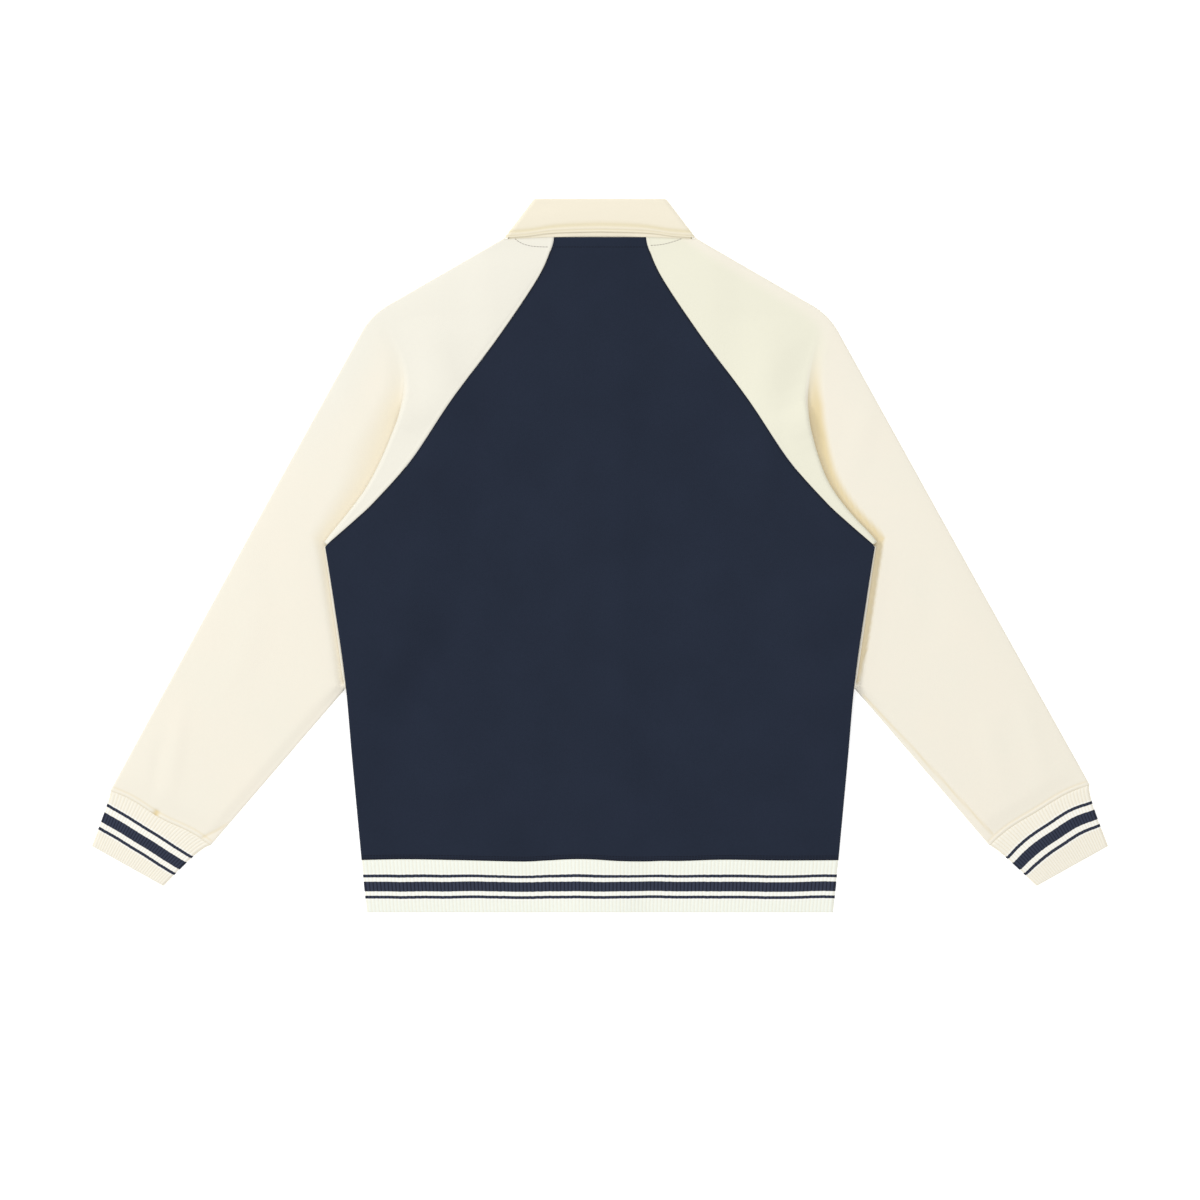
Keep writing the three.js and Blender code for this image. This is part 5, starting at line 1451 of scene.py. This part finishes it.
# %% Make the snap caps
def snap_enamel():
    """Satin dark enamel with fine scratches in its gloss and a trace of orange peel."""
    material, tree, shader = start_material("snap_enamel", 0.35, 0.0)
    shader.inputs["Metallic"].default_value = 0.6
    place = add_node(tree, "ShaderNodeTexCoord").outputs["Object"]
    tone = noise(tree, place, 160.0, 3.0)
    colour = mix_colours(tree, tone, from_screen(34, 37, 48), from_screen(52, 56, 70))
    tree.links.new(colour, shader.inputs["Base Color"])
    scratch = noise(tree, place, 1400.0, 4.0, 0.7)
    bump = add_node(tree, "ShaderNodeBump", {"Height": scratch})
    bump.inputs["Strength"].default_value = 0.15
    bump.inputs["Distance"].default_value = 0.0001
    tree.links.new(bump.outputs[0], shader.inputs["Normal"])
    return material


SNAP_PROFILE = [
    {"radius": 0.0, "height": 0.32}, {"radius": 2.2, "height": 0.27}, {"radius": 4.2, "height": 0.16},
    {"radius": 5.4, "height": 0.12}, {"radius": 6.1, "height": 0.02}, {"radius": 7.0, "height": 0.05},
    {"radius": 7.4, "height": 0.3}, {"radius": 7.5, "height": 0.7}, {"radius": 7.3, "height": 1.1},
    {"radius": 6.6, "height": 1.2}, {"radius": 3.0, "height": 1.2}, {"radius": 0.0, "height": 1.2},
]
SNAP_UPS = np.linspace(-347, 175, 6)


def make_snap(number, centre_up):
    """Radius and height of the profile carried round a circle: x is radius times cosine, y is radius
    times sine. The poles are single points."""
    profile = spline_through([(row["radius"], row["height"]) for row in SNAP_PROFILE], 2)
    profile = np.maximum(profile, 0)[1:-1]
    round_angle = np.arange(40) / 40 * 2 * np.pi
    x = profile[:, :1] * np.cos(round_angle)
    y = profile[:, :1] * np.sin(round_angle) + centre_up
    z = profile[:, 1:] + 0 * x
    ring = np.stack([x, y, z], axis=-1).reshape(-1, 3)
    poles = np.array([[0, centre_up, SNAP_PROFILE[0]["height"]], [0, centre_up, SNAP_PROFILE[-1]["height"]]])
    index = np.arange(len(profile) * 40).reshape(-1, 40)
    following = np.roll(index, -1, axis=1)
    quads = np.stack([index[:-1], index[1:], following[1:], following[:-1]], axis=-1).reshape(-1, 4)
    first, last = len(ring), len(ring) + 1
    caps = [(first, a, b) for a, b in zip(index[0], following[0])]
    caps += [(last, b, a) for a, b in zip(index[-1], following[-1])]
    mesh = bpy.data.meshes.new(f"snap_cap_{number}")
    mesh.from_pydata((np.vstack([ring, poles]) * MM).tolist(), [], quads.tolist() + caps)
    mesh.shade_smooth()
    piece = bpy.data.objects.new(f"snap_cap_{number}", mesh)
    bpy.context.scene.collection.objects.link(piece)
    piece.data.materials.append(enamel)
    return piece


enamel = snap_enamel()
snaps = [make_snap(number + 1, up) for number, up in enumerate(SNAP_UPS)]
print("snaps:", len(snaps))

# %% [markdown]
# ## What each piece is
# Every piece stands for one solid, which is hidden, and rides on the one body. The table lists each
# cloth piece's slot, the size that it was cut to, its cut area and the pieces that it lies on; the cut
# area is printed beside the measured one. The cut's area is the flat pattern's own area, all round on a tube.

def half_area(piece):
    """Half of the closed wall's surface, which is about the area of the cloth in it."""
    areas = np.zeros(len(piece.data.polygons), np.float32)
    piece.data.polygons.foreach_get("area", areas)
    return float(areas.sum()) / 2


CUTS = [
    {"piece": back_panel, "node": "back_panel", "slot": "navy_cloth", "cut": (0.58, 0.66), "area": 0.285,
     "on": ["front_left_cloth", "front_right_cloth"]},
    {"piece": front_left, "node": "front_left", "slot": "navy_cloth", "cut": (0.31, 0.59), "area": 0.143, "on": []},
    {"piece": front_right, "node": "front_right", "slot": "navy_cloth", "cut": (0.31, 0.59), "area": 0.143,
     "on": ["front_left_cloth"]},
    {"piece": sleeve_left, "node": "sleeve_left", "slot": "cream_cloth", "cut": (0.52, 0.68), "area": 0.222, "on": []},
    {"piece": sleeve_right, "node": "sleeve_right", "slot": "cream_cloth", "cut": (0.52, 0.68), "area": 0.222, "on": []},
    {"piece": cuff_left, "node": "cuff_left", "slot": "cream_rib", "cut": (0.21, 0.061), "area": 0.0128, "on": []},
    {"piece": cuff_right, "node": "cuff_right", "slot": "cream_rib", "cut": (0.21, 0.061), "area": 0.0128, "on": []},
    {"piece": hem_rib, "node": "hem_rib", "slot": "cream_rib", "cut": (1.03, 0.057), "area": 0.058, "on": []},
    {"piece": collar_stand, "node": "collar_stand", "slot": "cream_collar", "cut": (0.5, 0.04), "area": 0.018, "on": []},
    {"piece": collar_fall, "node": "collar_fall", "slot": "cream_collar", "cut": (0.5, 0.085), "area": 0.027, "on": []},
]
for row in CUTS:
    piece = row["piece"]
    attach(piece, "root" if "root" in frame["bodies"] else next(iter(frame["bodies"])))
    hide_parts(row["node"])
    print(piece.name, "cut", row["area"], "measured", round(half_area(piece), 4))
for number, snap in enumerate(snaps, start=1):
    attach(snap, "root" if "root" in frame["bodies"] else next(iter(frame["bodies"])))
    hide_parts(f"snap_{number}")

# %% [markdown]
# ## Floor, light and camera
# The jacket is photographed from straight above on a white ground. A big soft light comes from the
# upper left and a wide one from above. The table glows a little itself, as a lit one does, which
# leaves hardly any shadow round the cloth. The camera is orthographic,
# as a long lens far above the table nearly is, so the outline keeps its true shape.

# %% Floor
TABLE_GLOW = 0.4


def make_floor():
    """A level square just under the jacket."""
    mesh = bpy.data.meshes.new("floor")
    half = 30.0
    corners = [(-half, -half, -0.0003), (half, -half, -0.0003), (half, half, -0.0003), (-half, half, -0.0003)]
    mesh.from_pydata(corners, [], [(0, 1, 2, 3)])
    piece = bpy.data.objects.new("floor", mesh)
    bpy.context.scene.collection.objects.link(piece)
    material, tree, shader = start_material("floor_paper", 0.95, 0.0)
    place = add_node(tree, "ShaderNodeTexCoord").outputs["Object"]
    colour = mix_colours(tree, noise(tree, place, 3.0), from_screen(252, 252, 252), from_screen(254, 254, 254))
    tree.links.new(colour, shader.inputs["Base Color"])
    shader.inputs["Emission Color"].default_value = (1.0, 1.0, 1.0, 1.0)
    shader.inputs["Emission Strength"].default_value = TABLE_GLOW
    mesh.materials.append(material)
    return piece


floor = make_floor()

# %% Lights and world
def area_light(name, place, size, power, colour):
    """A square light that faces the middle of the jacket."""
    data = bpy.data.lights.new(name, "AREA")
    data.energy = power
    data.size = size
    data.color = colour
    light = bpy.data.objects.new(name, data)
    light.location = place
    x, y, z = place
    light.rotation_euler = (math.atan2(math.hypot(x, y), z), 0.0, math.atan2(x, -y) + 0.0)
    bpy.context.scene.collection.objects.link(light)
    return light


area_light("key", (-4.0, 2.4, 3.6), 1.6, 105, (1.0, 0.99, 0.97))
area_light("overhead", (0.0, 0.2, 2.8), 3.0, 30, (1.0, 1.0, 1.0))
world = bpy.data.worlds.new("studio")
world.use_nodes = True
world.node_tree.nodes["Background"].inputs["Color"].default_value = (1.0, 1.0, 1.0, 1.0)
world.node_tree.nodes["Background"].inputs["Strength"].default_value = 0.68
bpy.context.scene.world = world
bpy.context.scene.view_settings.view_transform = "Standard"
bpy.context.scene.view_settings.look = "None"

# %% Camera
FRAME_WIDTH = 1.26
PHOTO_MIDDLE_UP = -0.0467
camera_data = bpy.data.cameras.new("camera")
camera_data.type = "ORTHO"
camera_data.ortho_scale = FRAME_WIDTH
camera = bpy.data.objects.new("camera", camera_data)
camera.location = (0.0, PHOTO_MIDDLE_UP, 3.0)
bpy.context.scene.collection.objects.link(camera)
bpy.context.scene.camera = camera
